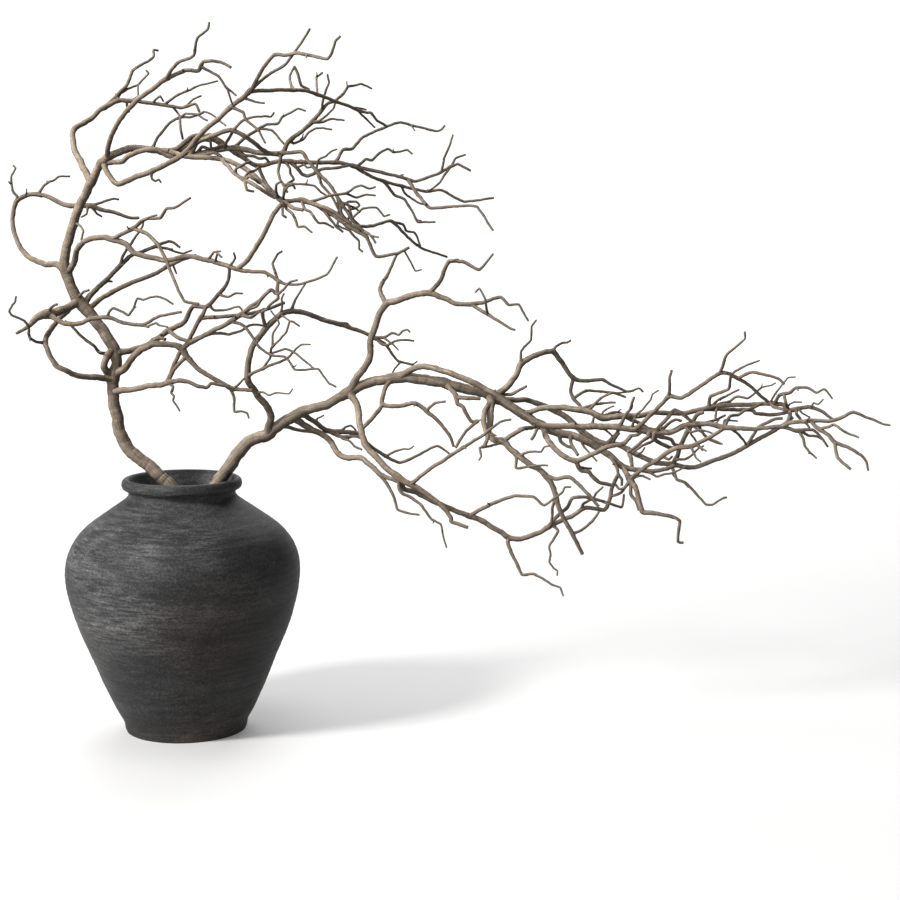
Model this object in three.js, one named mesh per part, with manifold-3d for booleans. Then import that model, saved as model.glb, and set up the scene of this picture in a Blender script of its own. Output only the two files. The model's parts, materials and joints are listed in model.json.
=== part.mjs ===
// Two bare, dry, twisted tree branches standing in a dark hand-thrown vase.
//
// Units are millimetres and +Z is up.  The origin is the centre of the vase's flat underside, +X is
// to the right of the front view and +Y points away from the viewer.
//
// The pieces are the vase, the left branch and the right branch.  Each branch is split at its main
// forks, so every limb is a node of its own that keeps a small gap to the limb it grew from.

import * as THREE from 'three';
import { mergeVertices } from 'three/addons/utils/BufferGeometryUtils.js';
import Module from 'manifold-3d';

const wasm = await Module();
wasm.setup();

// ---------------------------------------------------------------- driving dimensions

const VASE_HEIGHT = 360;
const FOOT_RADIUS = 86;
const BELLY_RADIUS = 164.5;
const BELLY_HEIGHT = 228;
const NECK_RADIUS = 74.5;
const NECK_HEIGHT = 337;
const LIP_RADIUS = 84;
const WALL = 9;
const FLOOR = 10;
const VASE_SEGMENTS = 26;

const GAP = 0.3;                   // between a limb and the limb that it grew from
const THICK_LIMB = 5.9;            // a limb that starts at this radius or more has 8 sides
const MIDDLE_LIMB = 3.9;           // and one from here up has 6; twigs have 4
const ROUTE_TOLERANCE = 2.7;       // how far a straight stretch may cut across a limb's route

// The routes below are drawn on the plane y = 0, as the front view from this point shows them.
// A limb's depth moves its points along the lines of sight, so the front view stays the same.
const FRONT_VIEW_POINT = new THREE.Vector3(376, -2576, 749);
const DEPTH_SPREAD = 2;            // how far the limbs' depths fan out, against the listed values

// Each limb: name, the limb it grows from, radii and depths at even steps along it, and its route
// as x, z pairs.  The depth at its start is its parent's.  Positive depths are behind the vase's axis.
const LIMBS = {
    "left_trunk": [
        ["trunk", "", [10.2, 10.2, 10.2, 10, 10, 9.8, 9.7, 9.3, 8.3, 6.6, 7.5, 7.3, 7, 6.6, 5.8, 4.8, 4.1],
            [-25, -24, -19, -13, 0, 4, 2, 0, -8],
            [52, 4, 54, 60, 52, 130, 44, 205, 28, 270, 6, 318, -19, 350, -40, 371, -73, 400, -84, 420,
                -87, 440, -93, 470, -93, 500, -87, 519, -92, 540, -104, 564, -118, 583, -143, 615,
                -155, 650, -154, 670, -140, 721, -106, 789, -98, 797, -86, 807, -55, 816, -8, 810]],
        ["trunk_eye", "trunk", [5, 4.8, 5], [-4, -5, 0],
            [-94, 503, -101, 507, -105, 517, -101, 528, -93, 538]],
        ["second_arch", "trunk", [3.6, 3.6, 3.2], [-6, -9, -8],
            [-96, 793, -75, 797, -64, 805, -41, 814, -26, 813, -13, 806, 0, 801]],
    ],
    "left_big_loop": [
        ["big_loop", "trunk", [4.5, 4, 3.2, 3.1, 3.2, 3.6, 2.9, 2], [10, 22, 32, 36, 34, 26, 30, 34],
            [-155, 650, -168, 657, -185, 658, -205, 667, -221, 689, -226, 718, -220, 743, -204, 752,
                -180, 751, -159, 741, -148, 738, -118, 737, -107, 733, -82, 727, -63, 721, -52, 721]],
    ],
    "left_low_loop": [
        ["low_loop", "trunk", [4.9, 4.2, 3.8, 3.6, 2.9], [-12, -22, -20, 0, 18],
            [-93, 497, -109, 500, -133, 502, -147, 504, -160, 510, -173, 519, -185, 544, -184, 557,
                -170, 577, -158, 588, -146, 600]],
    ],
    "left_burl_limb": [
        ["burl", "trunk", [5.5, 5.6, 6.6, 6.8, 4.7, 2.6, 2], [-8, -14, -20, -24],
            [-140, 606, -154, 597, -163, 593, -175, 590, -186, 588, -195, 584, -208, 572, -226, 562]],
        ["cross_limb", "burl", [3.4, 3.2, 2.9, 2.5, 2.1, 1.8], [-22, -26, -28, -35, -40],
            [-180, 588, -163, 577, -148, 575, -134, 577, -121, 582, -99, 585, -76, 576, -50, 573,
                -27, 586, 4, 591]],
    ],
    "left_hook_limb": [
        ["hook", "trunk", [4.4, 4, 3.8, 3.6, 3.3, 2.4, 1.8, 1.5], [-16, -26, -30, -36, -44, -52,
            -56, -50],
            [-152, 647, -144, 658, -138, 678, -121, 692, -98, 693, -73, 686, -57, 672, -32, 666,
                -13, 662, 13, 668, 42, 663, 89, 649, 119, 647, 148, 630, 175, 631, 205, 643, 221, 668]],
        ["hook_up", "hook", [2.9, 2.7, 2.1, 1.6], [-40, -52, -60],
            [-90, 693, -58, 708, -42, 720, -23, 721, -14, 733, -2, 735, 12, 743, 20, 748]],
        ["hook_fork", "hook_up", [2.9, 2.6, 2.1, 1.8], [-52, -64, -72],
            [-61, 708, -41, 699, -26, 683, -13, 656, -1, 624, 9, 606, 28, 602]],
        ["hook_hanger", "hook", [3.4, 3.3, 3.2], [-52, -58, -60, -62],
            [82, 652, 100, 667, 122, 703, 133, 727, 144, 739]],
    ],
    "left_back_diagonal": [
        ["back_diagonal", "trunk", [4.1, 3.6, 3.1, 2.5, 1.8], [16, 26, 32, 36],
            [-134, 600, -111, 626, -92, 642, -67, 668, -44, 676, -12, 689, 4, 680]],
    ],
    "left_front_diagonal": [
        ["front_diagonal", "trunk", [3.6, 3.4, 3.1, 2.7, 2.2], [12, 12, 8, 6],
            [-126, 594, -109, 608, -88, 621, -67, 631, -38, 641, -14, 654, 7, 664, 26, 670]],
    ],
    "left_low_limb_1": [
        ["low_1", "trunk", [4.4, 4.2, 4, 3.6, 3.2, 2.9, 2.5, 2.3], [6, 10, 8, 0, -5, -8],
            [-91, 534, -66, 539, -38, 549, -17, 564, 7, 577, 20, 599, 39, 599, 56, 616, 70, 635,
                71, 652]],
    ],
    "left_low_limb_2": [
        ["low_2", "trunk", [5.5, 4.5, 4, 3.6, 3.1, 2.5], [-8, -12, -14, -16, -20],
            [-92, 505, -77, 514, -59, 534, -33, 547, -8, 545, 5, 539, 11, 529, 27, 511, 51, 497,
                72, 485, 94, 483, 101, 482]],
        ["low_2_drop", "low_2", [3.2, 3], [-14, -12], [3, 539, -7, 521, -12, 507, -20, 493]],
        ["low_2_fork", "low_2", [3.1, 2.9, 2.7], [-18, -20, -20], [5, 539, 15, 556, 31, 584, 38, 598]],
        ["dark_arm", "low_2_fork", [3.1, 2.7, 2.3, 2], [-20, -12, -4],
            [31, 581, 58, 585, 88, 587, 109, 591, 147, 604]],
        ["low_2_arm", "low_2", [3.6, 3.2, 2.9, 2.2], [-28, -34, -36, -36],
            [6, 543, 23, 553, 55, 569, 85, 587, 109, 605, 128, 622, 136, 616]],
    ],
    "left_low_limb_3": [
        ["low_3", "trunk", [4.1, 4.1, 3.9, 3, 2.4, 2.2], [-14, -22, -24, -22],
            [-92, 481, -66, 484, -47, 488, -28, 490, -16, 493, 0, 497, 12, 494, 25, 488, 37, 486,
                44, 493, 55, 490, 68, 487]],
    ],
    "left_crown_limb_1": [
        ["crown_1", "trunk", [4.9, 4.5, 4, 3.6, 3.1, 2.7, 2.2, 1.8], [14, 28, 38, 44, 48, 50, 48],
            [-117, 770, -129, 794, -140, 821, -138, 841, -115, 855, -96, 871, -71, 880, -29, 876,
                9, 870, 29, 875, 34, 864]],
        ["crown_1_tip", "crown_1", [2.9, 2.5, 2.1, 1.7], [52, 62, 70],
            [-96, 871, -81, 884, -65, 900, -55, 920, -28, 937, -27, 948, -20, 947]],
    ],
    "left_crown_limb_2": [
        ["crown_2", "trunk", [3.6, 3.3, 3.2, 2.9, 2.5, 1.9], [-16, -26, -36, -44, -52, -58],
            [-92, 801, -91, 819, -86, 835, -71, 860, -50, 881, -35, 891, -14, 907, 15, 920, 34, 920, 41,
                932, 65, 931, 78, 924]],
        ["crown_2_tip", "crown_2", [2.7, 2.1, 1.6], [-58, -66, -70],
            [-10, 906, -4, 920, 8, 932, 27, 940, 33, 964, 47, 975, 49, 984]],
    ],
    "left_top_limb": [
        ["top", "trunk", [4, 3.6, 3.4, 3.4, 3.2, 3.1, 2.9], [-15, -24, -27, -29, -32, -36],
            [-99, 795, -93, 781, -80, 767, -56, 776, -22, 789, 13, 810, 42, 841, 72, 866, 106, 895]],
        ["top_left_fork", "top", [2.9, 2.5, 2.1, 1.6], [-50, -66, -80],
            [106, 895, 119, 919, 136, 941, 153, 940, 170, 943, 209, 935, 218, 950, 221, 960, 227, 966]],
        ["top_mid_fork", "top", [2.4, 2, 1.6], [-38, -38, -42],
            [104, 894, 125, 912, 150, 926, 161, 939, 180, 966, 186, 976]],
        ["top_right_fork", "top", [2.9, 2.7, 2.5, 2.1, 1.7], [-24, -10, 4, 16],
            [102, 892, 143, 894, 179, 893, 208, 883, 243, 870, 262, 863, 268, 863, 277, 852, 291, 845]],
    ],
    "left_long_limb": [
        ["long", "trunk", [4, 3.6, 3.4, 3.2, 3.1, 2.9, 2.3, 2, 1.7], [6, 16, 24, 28, 32, 36, 40,
            42, 44],
            [-12, 811, 2, 815, 27, 832, 50, 828, 90, 804, 113, 791, 143, 798, 189, 796, 221, 796,
                249, 790, 299, 779, 328, 771, 358, 780, 386, 794, 404, 785]],
        ["long_drop", "long", [2.7, 2.1, 1.6], [30, 20, 14],
            [318, 773, 333, 751, 349, 734, 389, 737, 413, 736, 436, 703]],
        ["long_low", "long", [2.7, 2.2, 1.7], [50, 56, 58],
            [244, 791, 269, 776, 304, 766, 343, 757, 364, 759, 395, 743, 436, 748]],
        ["long_high", "long", [2.6, 2.1, 1.6], [50, 60, 66],
            [219, 796, 230, 813, 242, 815, 256, 830, 273, 838, 291, 845, 309, 850, 359, 838, 369, 846]],
    ],
    "left_tangle_limb": [
        ["tangle", "trunk", [4, 3.9, 3.8, 3.6, 3.1, 2.7, 2], [0, -2, -2, 0, 4, 6],
            [-10, 809, 16, 805, 50, 812, 84, 816, 109, 810, 145, 808, 156, 825, 185, 848, 209, 876,
                218, 879]],
        ["tangle_fall", "tangle", [2.7, 2.4, 2], [-10, -14, -14],
            [145, 808, 171, 811, 181, 799, 194, 783, 211, 766, 222, 748, 234, 729, 250, 706]],
        ["tangle_arch", "tangle", [3.2, 3.2, 3], [-12, -14, -12, -2],
            [22, 806, 29, 823, 53, 833, 76, 840, 99, 829, 122, 811, 132, 808]],
    ],
    "left_tangle_low": [
        ["tangle_low", "trunk", [3.6, 3.4, 3.2, 3.1, 2.9, 2.7, 2.5, 2.3, 2],
            [-15, -20, -32, -42, -46, -50, -52, -52, -50],
            [-8, 808, 21, 804, 63, 801, 92, 790, 115, 771, 146, 744, 172, 745, 201, 734, 239, 708,
                261, 694, 274, 668, 307, 674, 320, 680]],
        ["tangle_low_2", "tangle_low", [2.7, 2.7, 2.5], [-44, -58, -54],
            [63, 801, 81, 781, 109, 765, 136, 748]],
        ["tangle_low_tip", "tangle_low", [2.5, 2, 1.6], [-40, -30, -20, -10],
            [240, 707, 269, 710, 294, 717, 316, 696, 335, 680, 354, 673, 372, 667]],
    ],
    "right_stem": [
        ["stem", "", [9.8, 9.8, 9.8, 9.8, 9.6, 9.4, 8.9, 7.5, 6.1, 6.9, 7.5, 7.1, 6.5, 5.9, 5, 3.8, 2.6],
            [25, 24, 18, 6, 0, 0, 2, 0, 0],
            [-50, 19, -50, 45, -44, 90, -34, 150, -18, 215, 4, 275, 30, 322, 49, 351, 63, 371, 79, 394,
                97, 412, 119, 419, 141, 436, 171, 453, 205, 463, 237, 481, 270, 495, 310, 500, 350, 496,
                400, 484, 430, 477, 471, 453, 500, 435, 526, 423, 550, 418, 575, 406, 600, 391,
                620, 374, 652, 369, 675, 370, 690, 377]],
    ],
    "right_inner_limb": [
        ["inner", "stem", [5.3, 4.9, 4.5, 4.3, 4.2, 3.8, 3.4, 3, 2.6, 2.1, 1.4],
            [-8, -16, -20, -18, -10, 0, 8, 14, 17, 17],
            [122, 422, 124, 453, 106, 479, 94, 500, 99, 536, 118, 566, 143, 589, 169, 592, 199, 581,
                233, 571, 256, 563, 284, 548, 304, 523, 325, 518]],
        ["inner_fork", "inner", [2.5, 2.1, 1.3], [-32, -40, -44],
            [96, 502, 115, 513, 129, 518, 150, 527, 169, 546, 182, 547]],
    ],
    "right_upright_limb": [
        ["upright", "stem", [5.9, 5.1, 4.7, 4.3, 4.2, 4, 3.6, 3, 2.5, 1.9, 1.4],
            [-4, -6, -8, -12, -18, -24, -28, -30, -32, -32],
            [234, 478, 247, 501, 263, 524, 267, 556, 278, 588, 287, 602, 299, 606, 329, 615, 347, 618,
                370, 610, 382, 603, 420, 604, 445, 612, 457, 601, 471, 602, 484, 580]],
        ["upright_left", "upright", [3.4, 2.8, 2.1, 1.3], [-2, 8, 16, 20],
            [287, 602, 279, 624, 291, 645, 302, 670, 319, 680]],
        ["upright_top", "upright", [3.2, 2.8, 2.3, 1.4], [-28, -34, -38, -36],
            [348, 618, 364, 637, 374, 661, 394, 661, 417, 650, 435, 671]],
        ["upright_low", "upright", [2.8, 2.3, 1.5], [-32, -38, -40],
            [405, 603, 426, 590, 441, 580, 461, 568, 466, 566]],
    ],
    "right_light_limb": [
        ["light", "stem", [4.3, 4.2, 4.1, 4.1, 4.2, 4.3, 4.3, 4.2, 3.8, 3.4, 3, 2.5, 1.5],
            [-15, -19, -19, -18, -16, -14, -14, -18, -24, -28, -30, -32],
            [306, 499, 317, 508, 340, 516, 383, 504, 430, 482, 461, 459, 489, 441, 511, 433, 549, 432,
                601, 431, 651, 426, 680, 423, 695, 429, 710, 434, 735, 436, 759, 431, 798, 428,
                842, 431, 860, 425, 885, 427, 905, 403]],
    ],
    "right_long_strand": [
        ["far", "stem", [4, 4, 4.7, 4.5, 4, 3.6, 3.4, 3.2, 3.2, 3, 2.5],
            [12, 20, 22, 22, 20, 20, 18, 16, 14, 12],
            [446, 467, 464, 469, 490, 467, 522, 454, 541, 442, 565, 422, 590, 408, 614, 405, 638, 392,
                663, 381, 685, 378, 719, 374, 745, 384, 771, 393, 791, 405, 824, 423, 842, 434,
                855, 445]],
        ["far_riser", "far", [3.4, 3.4, 3.2, 2.6], [14, 8, 4, 0, -2],
            [688, 378, 694, 390, 700, 408, 708, 424, 720, 447, 730, 452]],
        ["far_tail", "far", [2.5, 2.2, 1.8, 1.5], [12, 2, -4],
            [686, 378, 694, 357, 706, 352, 727, 331, 735, 321, 745, 321, 758, 329, 765, 331]],
        ["far_arch", "far", [2.6, 2.6, 2.3], [10, 6, 4], [793, 406, 807, 431, 827, 441, 840, 443]],
    ],
    "right_top_strand": [
        ["high", "stem", [3.4, 4.3, 4.5, 4.3, 3.8, 3.4, 3.4, 3.4, 3.4, 3.4, 3, 2.6, 1.9],
            [-5, -6, -8, -6, 0, 6, 10, 12, 10, 6, 4],
            [480, 448, 506, 458, 536, 458, 571, 452, 590, 443, 612, 446, 640, 447, 659, 451, 684, 450,
                708, 451, 737, 458, 767, 462, 799, 462, 822, 464, 841, 462, 850, 454, 877, 459,
                893, 454, 912, 441]],
        ["high_twin", "high", [2.8, 2.8, 2.5], [18, 22, 20, 16],
            [725, 455, 751, 456, 796, 455, 803, 450, 824, 448, 842, 450, 850, 453]],
        ["high_hook", "high", [2.6, 2.2, 1.4], [2, -8, -12],
            [738, 457, 739, 474, 764, 484, 768, 504, 782, 515, 806, 524]],
        ["high_tip", "high", [2.6, 2.1, 1.3], [-4, -10, -14],
            [828, 464, 836, 476, 850, 479, 857, 485, 874, 486, 887, 479, 898, 484, 909, 471]],
    ],
    "right_upper_limb": [
        ["upper", "light", [3.2, 3.1, 2.9, 2.7, 2.5, 2.3], [-26, -36, -40, -40, -40, -36, -30],
            [634, 428, 652, 443, 669, 461, 682, 474, 698, 472, 723, 487, 751, 507, 765, 505, 787, 493,
                820, 466]],
        ["upper_spire", "upper", [2.5, 2, 1.4], [-46, -52, -56],
            [751, 507, 761, 533, 775, 544, 785, 554, 785, 563]],
        ["upper_arch", "upper", [2.5, 2.2, 1.8], [-44, -48, -50],
            [776, 499, 798, 508, 833, 499, 842, 490]],
    ],
    "right_rise_limb": [
        ["rise", "stem", [4.9, 4.5, 4.2, 3.8, 3.6, 3, 2.5, 1.9, 1.5], [8, 14, 20, 26, 30, 34, 36, 38],
            [436, 473, 454, 486, 466, 501, 475, 519, 491, 530, 518, 537, 533, 519, 547, 499, 561, 495,
                588, 497, 604, 489, 623, 480, 639, 485, 645, 480]],
        ["rise_drop", "rise", [3, 2.6, 2.3], [32, 30, 28],
            [547, 499, 544, 481, 548, 470, 555, 463, 561, 456]],
        ["rise_link", "rise_drop", [2.5, 2.1, 1.7], [34, 38, 38],
            [548, 470, 565, 482, 587, 481, 604, 478, 621, 473]],
        ["rise_spire", "rise", [2.3, 1.8, 1.3], [14, 10],
            [475, 519, 475, 536, 488, 553, 489, 572, 495, 580]],
    ],
    "right_drop_limb": [
        ["drop", "stem", [5.3, 4.9, 4.7, 4.3, 4.2, 4, 3.8, 3.4, 3, 2.8, 2.5],
            [-14, -22, -26, -28, -29, -30, -30, -28],
            [432, 474, 432, 440, 429, 425, 437, 413, 451, 410, 462, 399, 487, 378, 500, 372, 511, 361,
                520, 346, 530, 314, 544, 287, 556, 263, 563, 250]],
        ["drop_twin", "drop", [3.8, 3.8, 2.6], [-18, -28, -32],
            [429, 466, 424, 453, 423, 438, 428, 416, 424, 403]],
        ["drop_arm", "drop", [3.4, 3.2, 2.8], [-26, -20, -12], [451, 411, 475, 427, 488, 430, 497, 432]],
        ["drop_fork", "drop", [3, 2.6, 2.1], [-34, -38, -40],
            [511, 361, 524, 358, 544, 359, 568, 338, 585, 318]],
    ],
    "right_low_limb": [
        ["low", "stem", [4.9, 4.7, 4.5, 4.3, 4.2, 4, 3.6, 3.4, 2.8, 2.3], [-16, -26, -32, -36,
            -38, -38, -40, -42],
            [238, 478, 247, 459, 250, 433, 259, 405, 281, 379, 309, 356, 339, 339, 363, 320, 377, 303,
                379, 296, 401, 288]],
        ["low_short", "low", [2.5, 2.1, 1.5], [-20, -14, -14],
            [257, 410, 280, 393, 306, 381, 330, 391, 358, 404, 379, 391]],
    ],
    "right_dark_limb": [
        ["dark", "low", [3.6, 3.4, 3.4, 3.6, 3.6, 3.4, 3.4, 3.2, 3, 3, 2.8],
            [-26, -24, -20, -18, -17, -16, -14, -12, -10, -4, 6],
            [303, 361, 312, 343, 330, 337, 354, 325, 385, 311, 415, 301, 445, 284, 458, 274, 476, 272,
                502, 281, 522, 294, 546, 304, 568, 317, 593, 313, 601, 330, 602, 342, 608, 356, 613, 364]],
        ["dark_tail", "dark", [3, 2.3, 1.8, 1.3], [-22, -28, -34],
            [458, 274, 458, 262, 471, 235, 478, 221, 495, 222, 521, 206, 532, 202, 536, 191]],
        ["dark_arch", "dark", [2.8, 2.5, 2.1, 1.7], [-22, -24, -20, -14, -10],
            [514, 288, 528, 306, 541, 318, 549, 330, 563, 332, 589, 326, 617, 317, 620, 336]],
        ["dark_rise", "dark", [3, 2.5, 1.9, 1.4], [-24, -32, -40, -46, -48],
            [404, 305, 415, 312, 439, 324, 465, 333, 494, 332, 508, 320, 532, 337, 537, 345, 545, 346]],
    ],
    "right_under_limb": [
        ["under", "stem", [4.7, 4.3, 4.2, 4, 3.4, 2.8], [10, 13, 8, -4, -12, -16],
            [158, 443, 175, 433, 205, 415, 220, 393, 233, 387, 252, 387, 274, 368, 283, 361, 296, 357,
                304, 354]],
        ["under_tail", "under", [2.5, 2, 1.4], [-16, -20],
            [279, 364, 296, 336, 302, 315, 314, 310, 332, 306]],
    ],
    "right_under_arm": [
        ["arm", "stem", [3.8, 3.4, 3.4, 2.8], [11, 16, 18, 19],
            [168, 450, 186, 439, 204, 426, 225, 424, 243, 423, 253, 420]],
    ],
    "right_link_limb": [
        ["link", "stem", [3.2, 3, 3, 2.8, 2.5, 1.9], [-14, -20, -22, -24, -24],
            [298, 494, 284, 483, 282, 463, 302, 460, 328, 464, 353, 446, 375, 420, 381, 403]],
        ["link_left", "link", [3, 3, 2.8], [-22, -21], [282, 463, 270, 446, 259, 435, 253, 428]],
    ],
    "right_cross_strand": [
        ["cross_strand", "low", [2.8, 2.6, 2.5, 2.1, 1.5], [-46, -50, -52, -52],
            [320, 350, 350, 373, 385, 396, 420, 418, 446, 438, 462, 442]],
    ],
    "right_dangle_limb": [
        ["dangle", "stem", [3.4, 3.2, 2.6, 2.3, 2], [-10, -14, -15, -20, -26],
            [369, 489, 384, 476, 386, 464, 394, 459, 405, 439, 414, 438, 398, 424, 384, 402]],
        ["dangle_side", "dangle", [3.2, 3, 2.5], [-12, -12], [385, 473, 401, 471, 418, 471]],
    ],
    "right_hanging_loop": [
        ["loop", "stem", [4.2, 4, 3.8, 3.4, 3.2, 2.8], [-16, -24, -27, -26, -24, -24],
            [506, 432, 513, 412, 529, 394, 553, 383, 572, 391, 594, 402, 619, 407, 628, 418]],
        ["loop_tail", "loop", [3, 2.8, 2.5], [-24, -22, -18],
            [553, 383, 559, 369, 570, 367, 585, 353, 594, 351, 605, 349]],
    ],
    "right_hub_limb": [
        ["hub", "stem", [3.8, 3.8, 3.6, 3.4, 2.3, 2.1, 1.7], [-12, -19, -22, -24, -24, -22],
            [618, 376, 628, 358, 636, 346, 645, 316, 649, 310, 676, 307, 693, 302, 699, 298, 698, 286,
                697, 268, 705, 266]],
        ["hub_riser", "hub", [3, 3.2, 3.2, 2.8, 2.5], [-26, -34, -36, -38, -38],
            [629, 357, 644, 370, 667, 385, 690, 401, 718, 405, 745, 420, 757, 428]],
    ],
    "right_tip_limb": [
        ["tip", "light", [3, 2.8, 2.6, 2.5, 1.9, 1.4], [-40, -46, -48, -50],
            [840, 431, 853, 437, 885, 440, 905, 439, 921, 443, 939, 452, 958, 445, 980, 435, 990, 433]],
        ["tip_low", "tip", [2.8, 2.6, 2.3, 1.5], [-50, -56, -58],
            [880, 440, 887, 432, 904, 420, 914, 409, 934, 401, 951, 391, 959, 382, 962, 369]],
        ["tip_fork", "tip_low", [2.5, 2.2, 1.8], [-62, -66], [914, 409, 918, 389, 938, 371]],
    ],
};

// ---------------------------------------------------------------- colours

const CHARCOAL = '#3b3b3d';
const BARK_COLOURS = ['#a89882', '#9a8a75', '#8d7d69', '#b0a189', '#7f705e'];

// ---------------------------------------------------------------- solids

function solidOf(vertices, triangles) {
    return new wasm.Manifold(new wasm.Mesh({
        numProp: 3,
        vertProperties: new Float32Array(vertices),
        triVerts: new Uint32Array(triangles),
    }));
}

function geometryOf(solid) {
    const mesh = solid.getMesh();
    const geometry = new THREE.BufferGeometry();
    geometry.setAttribute('position', new THREE.BufferAttribute(mesh.vertProperties, 3));
    geometry.setIndex(new THREE.BufferAttribute(mesh.triVerts, 1));
    geometry.computeVertexNormals();
    return geometry;
}

function largestBody(solid) {
    const bodies = solid.decompose();
    return bodies.reduce((best, body) => (body.volume() > best.volume() ? body : best));
}

// ---------------------------------------------------------------- routes

function pairs(route) {
    const points = [];
    for (let i = 0; i < route.length; i += 2) {
        points.push(new THREE.Vector2(route[i], route[i + 1]));
    }
    return points;
}

function distancesAlong(points) {
    const lengths = [0];
    for (let i = 1; i < points.length; i += 1) {
        lengths.push(lengths[i - 1] + points[i].distanceTo(points[i - 1]));
    }
    return lengths;
}

// The value at a fraction of the way along an evenly spaced list.
function valueAt(values, fraction) {
    const place = fraction * (values.length - 1);
    const below = Math.min(Math.floor(place), values.length - 2);
    return THREE.MathUtils.lerp(values[below], values[below + 1], place - below);
}

// The depth of a limb where its drawn route passes closest to a point.
function depthNear(limb, point) {
    let nearest = Infinity;
    let depth = 0;
    for (let i = 1; i < limb.flat.length; i += 1) {
        const start = limb.flat[i - 1];
        const step = limb.flat[i].clone().sub(start);
        const along = point.clone().sub(start).dot(step) / step.lengthSq();
        const share = THREE.MathUtils.clamp(along, 0, 1);
        const distance = start.clone().addScaledVector(step, share).distanceTo(point);
        if (distance < nearest) {
            nearest = distance;
            depth = THREE.MathUtils.lerp(limb.depths[i - 1], limb.depths[i], share);
        }
    }
    return depth;
}

// A drawn point, moved along its line of sight to a depth.
function placed(point, depth) {
    const drawn = new THREE.Vector3(point.x, 0, point.y);
    const scale = (depth - FRONT_VIEW_POINT.y) / -FRONT_VIEW_POINT.y;
    return drawn.sub(FRONT_VIEW_POINT).multiplyScalar(scale).add(FRONT_VIEW_POINT);
}

function distanceToChord(point, start, end) {
    const chord = end.clone().sub(start);
    const share = THREE.MathUtils.clamp(point.clone().sub(start).dot(chord) / chord.lengthSq(), 0, 1);
    return start.clone().addScaledVector(chord, share).distanceTo(point);
}

// The indices of the points that a route needs to stay within the tolerance.
function neededPoints(points, first, last) {
    let worst = 0;
    let split = -1;
    for (let i = first + 1; i < last; i += 1) {
        const distance = distanceToChord(points[i], points[first], points[last]);
        if (distance > worst) {
            worst = distance;
            split = i;
        }
    }
    if (worst <= ROUTE_TOLERANCE) {
        return [first, last];
    }
    return [...neededPoints(points, first, split), ...neededPoints(points, split, last).slice(1)];
}

function layOutLimb([name, parentName, radii, depths, route], limbs) {
    const flat = pairs(route);
    const lengths = distancesAlong(flat);
    const fractions = lengths.map((length) => length / lengths[lengths.length - 1]);
    const parent = limbs.get(parentName);
    const fanned = depths.map((depth) => depth * DEPTH_SPREAD);
    const allDepths = parent ? [depthNear(parent, flat[0]), ...fanned] : depths;
    const limb = { name, flat, depths: fractions.map((fraction) => valueAt(allDepths, fraction)) };
    const points = flat.map((point, i) => placed(point, limb.depths[i]));
    const kept = neededPoints(points, 0, points.length - 1);
    limb.points = kept.map((i) => points[i]);
    limb.radii = kept.map((i) => valueAt(radii, fractions[i]));
    limbs.set(name, limb);
    return limb;
}

// ---------------------------------------------------------------- limbs

function sidesFor(radius) {
    if (radius >= THICK_LIMB) {
        return 8;
    }
    return radius >= MIDDLE_LIMB ? 6 : 4;
}

// The direction of a route at each point, halfway between the stretches that meet there.
function directionsOf(points) {
    return points.map((point, i) => {
        const before = point.clone().sub(points[Math.max(i - 1, 0)]).normalize();
        const after = points[Math.min(i + 1, points.length - 1)].clone().sub(point).normalize();
        return before.add(after).normalize();
    });
}

// A closed tube with flat ends; grow makes it fatter, for cutting its neighbours.
function tube(limb, grow) {
    const { points, radii } = limb;
    const sides = sidesFor(radii[0]);
    const directions = directionsOf(points);
    const vertices = [];
    const triangles = [];
    let across = new THREE.Vector3(0, 1, 0);
    points.forEach((point, ring) => {
        const direction = directions[ring];
        across = across.clone().addScaledVector(direction, -across.dot(direction)).normalize();
        const up = direction.clone().cross(across);
        for (let side = 0; side < sides; side += 1) {
            const angle = (side + 0.5) * 2 * Math.PI / sides;
            const radius = radii[ring] + grow;
            const corner = point.clone()
                .addScaledVector(across, radius * Math.cos(angle))
                .addScaledVector(up, radius * Math.sin(angle));
            vertices.push(corner.x, corner.y, corner.z);
        }
    });
    for (let ring = 1; ring < points.length; ring += 1) {
        for (let side = 0; side < sides; side += 1) {
            const a = (ring - 1) * sides + side;
            const b = (ring - 1) * sides + (side + 1) % sides;
            triangles.push(a, b, b + sides, a, b + sides, a + sides);
        }
    }
    const end = (points.length - 1) * sides;
    for (let side = 2; side < sides; side += 1) {
        triangles.push(0, side, side - 1);
        triangles.push(end, end + side - 1, end + side);
    }
    return solidOf(vertices, triangles);
}

function boxesMeet(one, other) {
    return [0, 1, 2].every((axis) => one.min[axis] <= other.max[axis] && other.min[axis] <= one.max[axis]);
}

// A node's limbs joined in one solid, clear of every limb that was built before it.
function limbSolid(limbs, builtBefore) {
    let solid = limbs.map((limb) => tube(limb, 0)).reduce((joined, next) => joined.add(next));
    for (const neighbour of builtBefore) {
        if (boxesMeet(solid.boundingBox(), neighbour.boundingBox())) {
            solid = solid.subtract(neighbour);
        }
    }
    return largestBody(solid);
}

function branchMeshes() {
    const laidOut = new Map();
    const builtBefore = [];
    return Object.entries(LIMBS).map(([nodeName, rows], index) => {
        const limbs = rows.map((row) => layOutLimb(row, laidOut));
        const geometry = geometryOf(limbSolid(limbs, builtBefore));
        builtBefore.push(...limbs.map((limb) => tube(limb, GAP)));
        const colour = BARK_COLOURS[index % BARK_COLOURS.length];
        const bark = new THREE.MeshStandardMaterial({ color: colour, roughness: 0.85, metalness: 0 });
        const mesh = new THREE.Mesh(geometry, bark);
        mesh.name = nodeName;
        return mesh;
    });
}

// ---------------------------------------------------------------- vase

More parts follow.
